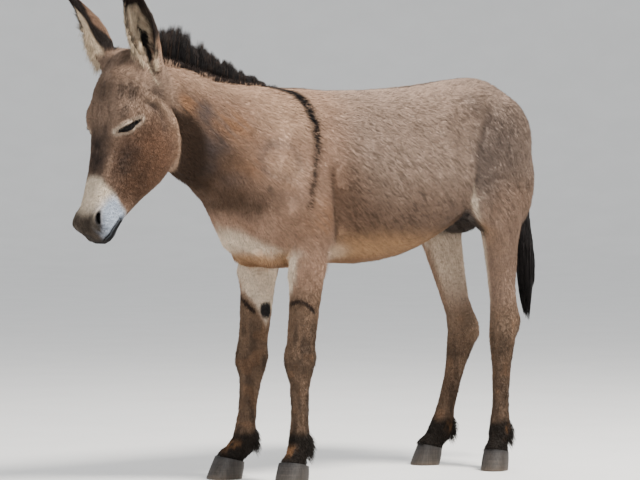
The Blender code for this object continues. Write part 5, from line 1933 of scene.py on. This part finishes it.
def ear_hair(side, name, seed):
    """Pale hairs that lean over the ear's hollow from its edges and point to its tip."""
    rng = np.random.default_rng(seed)
    count = int(3000 * share_made)
    reach, turn, off, tip, faces, across = ear_places(triangle_middle, side)
    inside = (triangle_facing @ faces > 0.0) * (off < 1.03) * (off > 0.5)
    inside = inside * step(reach, -0.01, 0.02) * step(reach, 0.235, 0.17)
    weight = inside * (0.25 + step(np.abs(turn), 0.35, 0.85)) * (triangle_tone > 0.1)
    root, outward, _ = scatter(count, weight * (stroke(triangle_head, EAR_SLOT) > 0.012), rng)
    reach, turn, off, tip, faces, across = ear_places(root, side)
    length = rng.uniform(0.014, 0.030, count) * np.interp(reach, [0, 0.1, 0.22], [1.0, 1.0, 0.5])
    inward = -np.sign(turn)[:, None] * across
    way = unit(tip * rng.uniform(0.6, 1.1, count)[:, None] + inward * 0.55 + outward * 0.30
               + faces * 0.35 + rng.normal(0, 0.13, (count, 3)))
    paths = straight(root, outward, way, length, 3)
    paths[:, 2] += tip * (length * 0.25)[:, None]
    tone = coat_colours(root, outward) * rng.uniform(0.7, 1.2, count)[:, None]
    strands(name, paths, 0.00065, (1.0, 0.75, 0.0), shaded(tone, (0.7, 0.95, 1.1)), TUFT_MATERIAL)


ear_hair(1, "ear_hair_left", 91)
ear_hair(-1, "ear_hair_right", 92)


# %% [markdown]
# ## Lashes
# Each upper lid carries a row of dark lashes. They start on the lid's edge and hang over the slit.

# %% Lashes
LASHES = 90         # on each lid
LASH_TAPER = (1.0, 8 / 9, 2 / 3, 0.0)


def lashes():
    """Short dark hairs along the edge of each upper lid."""
    rng = np.random.default_rng(95)
    paths, steps = [], len(LASH_TAPER)
    for side in EYES:
        along, above, outward = eye_axes(side)
        for u in rng.uniform(-0.032, 0.022, LASHES):
            end = SLIT_FRONT if u > 0 else SLIT_REAR
            v = UPPER_RISE * (1 - (u / end) ** 2) + 0.0010
            w = np.sqrt(max((EYE_RADIUS + LID) ** 2 - u ** 2 - v ** 2, 1e-5))
            root = EYES[side] + along * u + above * v + outward * (w - 0.0012)
            length = rng.uniform(0.006, 0.010)
            way = outward * 0.80 - above * 0.55 + along * (u * 12 + rng.normal(0, 0.10))
            t = np.linspace(0, 1, steps)[:, None]
            paths.append(root + unit(way) * length * t + above * 0.004 * t ** 2)
    colours = np.tile(np.array(PALETTE["black"]), (len(paths), steps, 1))
    strands("lashes", np.array(paths), 0.00045, LASH_TAPER, colours, LONG_MATERIAL)


lashes()


# %% [markdown]
# ## Fetlocks and the ears' inner fringes
# A small tuft hangs behind each fetlock, and longer pale hair hangs from the inner edge of each ear over
# the forehead. Both are straight hairs that droop a little toward their tips.

# %% Loose hair
def loose_hair(name, weight, count, seed, lengths, way, tone):
    """Hairs rooted on the skin. way(outward, stray) gives their direction, tone their colour."""
    rng = np.random.default_rng(seed)
    count = int(count * share_made)
    root, outward, _ = scatter(count, weight, rng)
    along = unit(way(outward, rng.normal(0, 1, root.shape)))
    length = rng.uniform(*lengths, count)
    paths = straight(root, outward, along, length, 4)
    droop = np.linspace(0, 1, 4)[None, :] ** 2 * 0.25
    paths[:, :, 2] -= droop * length[:, None]
    colours = np.tile(np.array(PALETTE[tone]), (count, 1)) * rng.uniform(0.6, 1.3, count)[:, None]
    strands(name, paths, 0.0008, (1.0, 0.9, 0.6, 0.0), shaded(colours, np.ones(4)), TUFT_MATERIAL)


# %% Fetlocks
height = triangle_middle[:, 2]
rear = step(triangle_facing[:, 0], 0.15, 0.7) * step(height, 0.080, 0.095)
loose_hair("fetlock_hair", rear * step(height, 0.150, 0.130), 2000, 96, (0.014, 0.032),
           lambda outward, stray: outward * 0.6 + np.array([0.35, 0, -1.0]) + stray * 0.15,
           "pastern")

# %% Fringes
for side, name, lengths in ((1, "ear_fringe_left", (0.010, 0.024)), (-1, "ear_fringe_right", (0.014, 0.034))):
    reach, turn, off, tip, faces, across = ear_places(triangle_middle, side)
    inner_edge = (-turn * side > 0.78) * (off > 0.8) * (off < 1.25)
    inner_edge = inner_edge * step(reach, -0.02, 0.0) * step(reach, 0.12, 0.06)
    inner_edge = inner_edge * (stroke(triangle_head, EAR_SLOT) > 0.008)
    loose_hair(name, inner_edge, 500, 97 + side, lengths,
               lambda outward, stray: faces * 0.55 - tip * 0.70 + stray * 0.20, "ear hair")
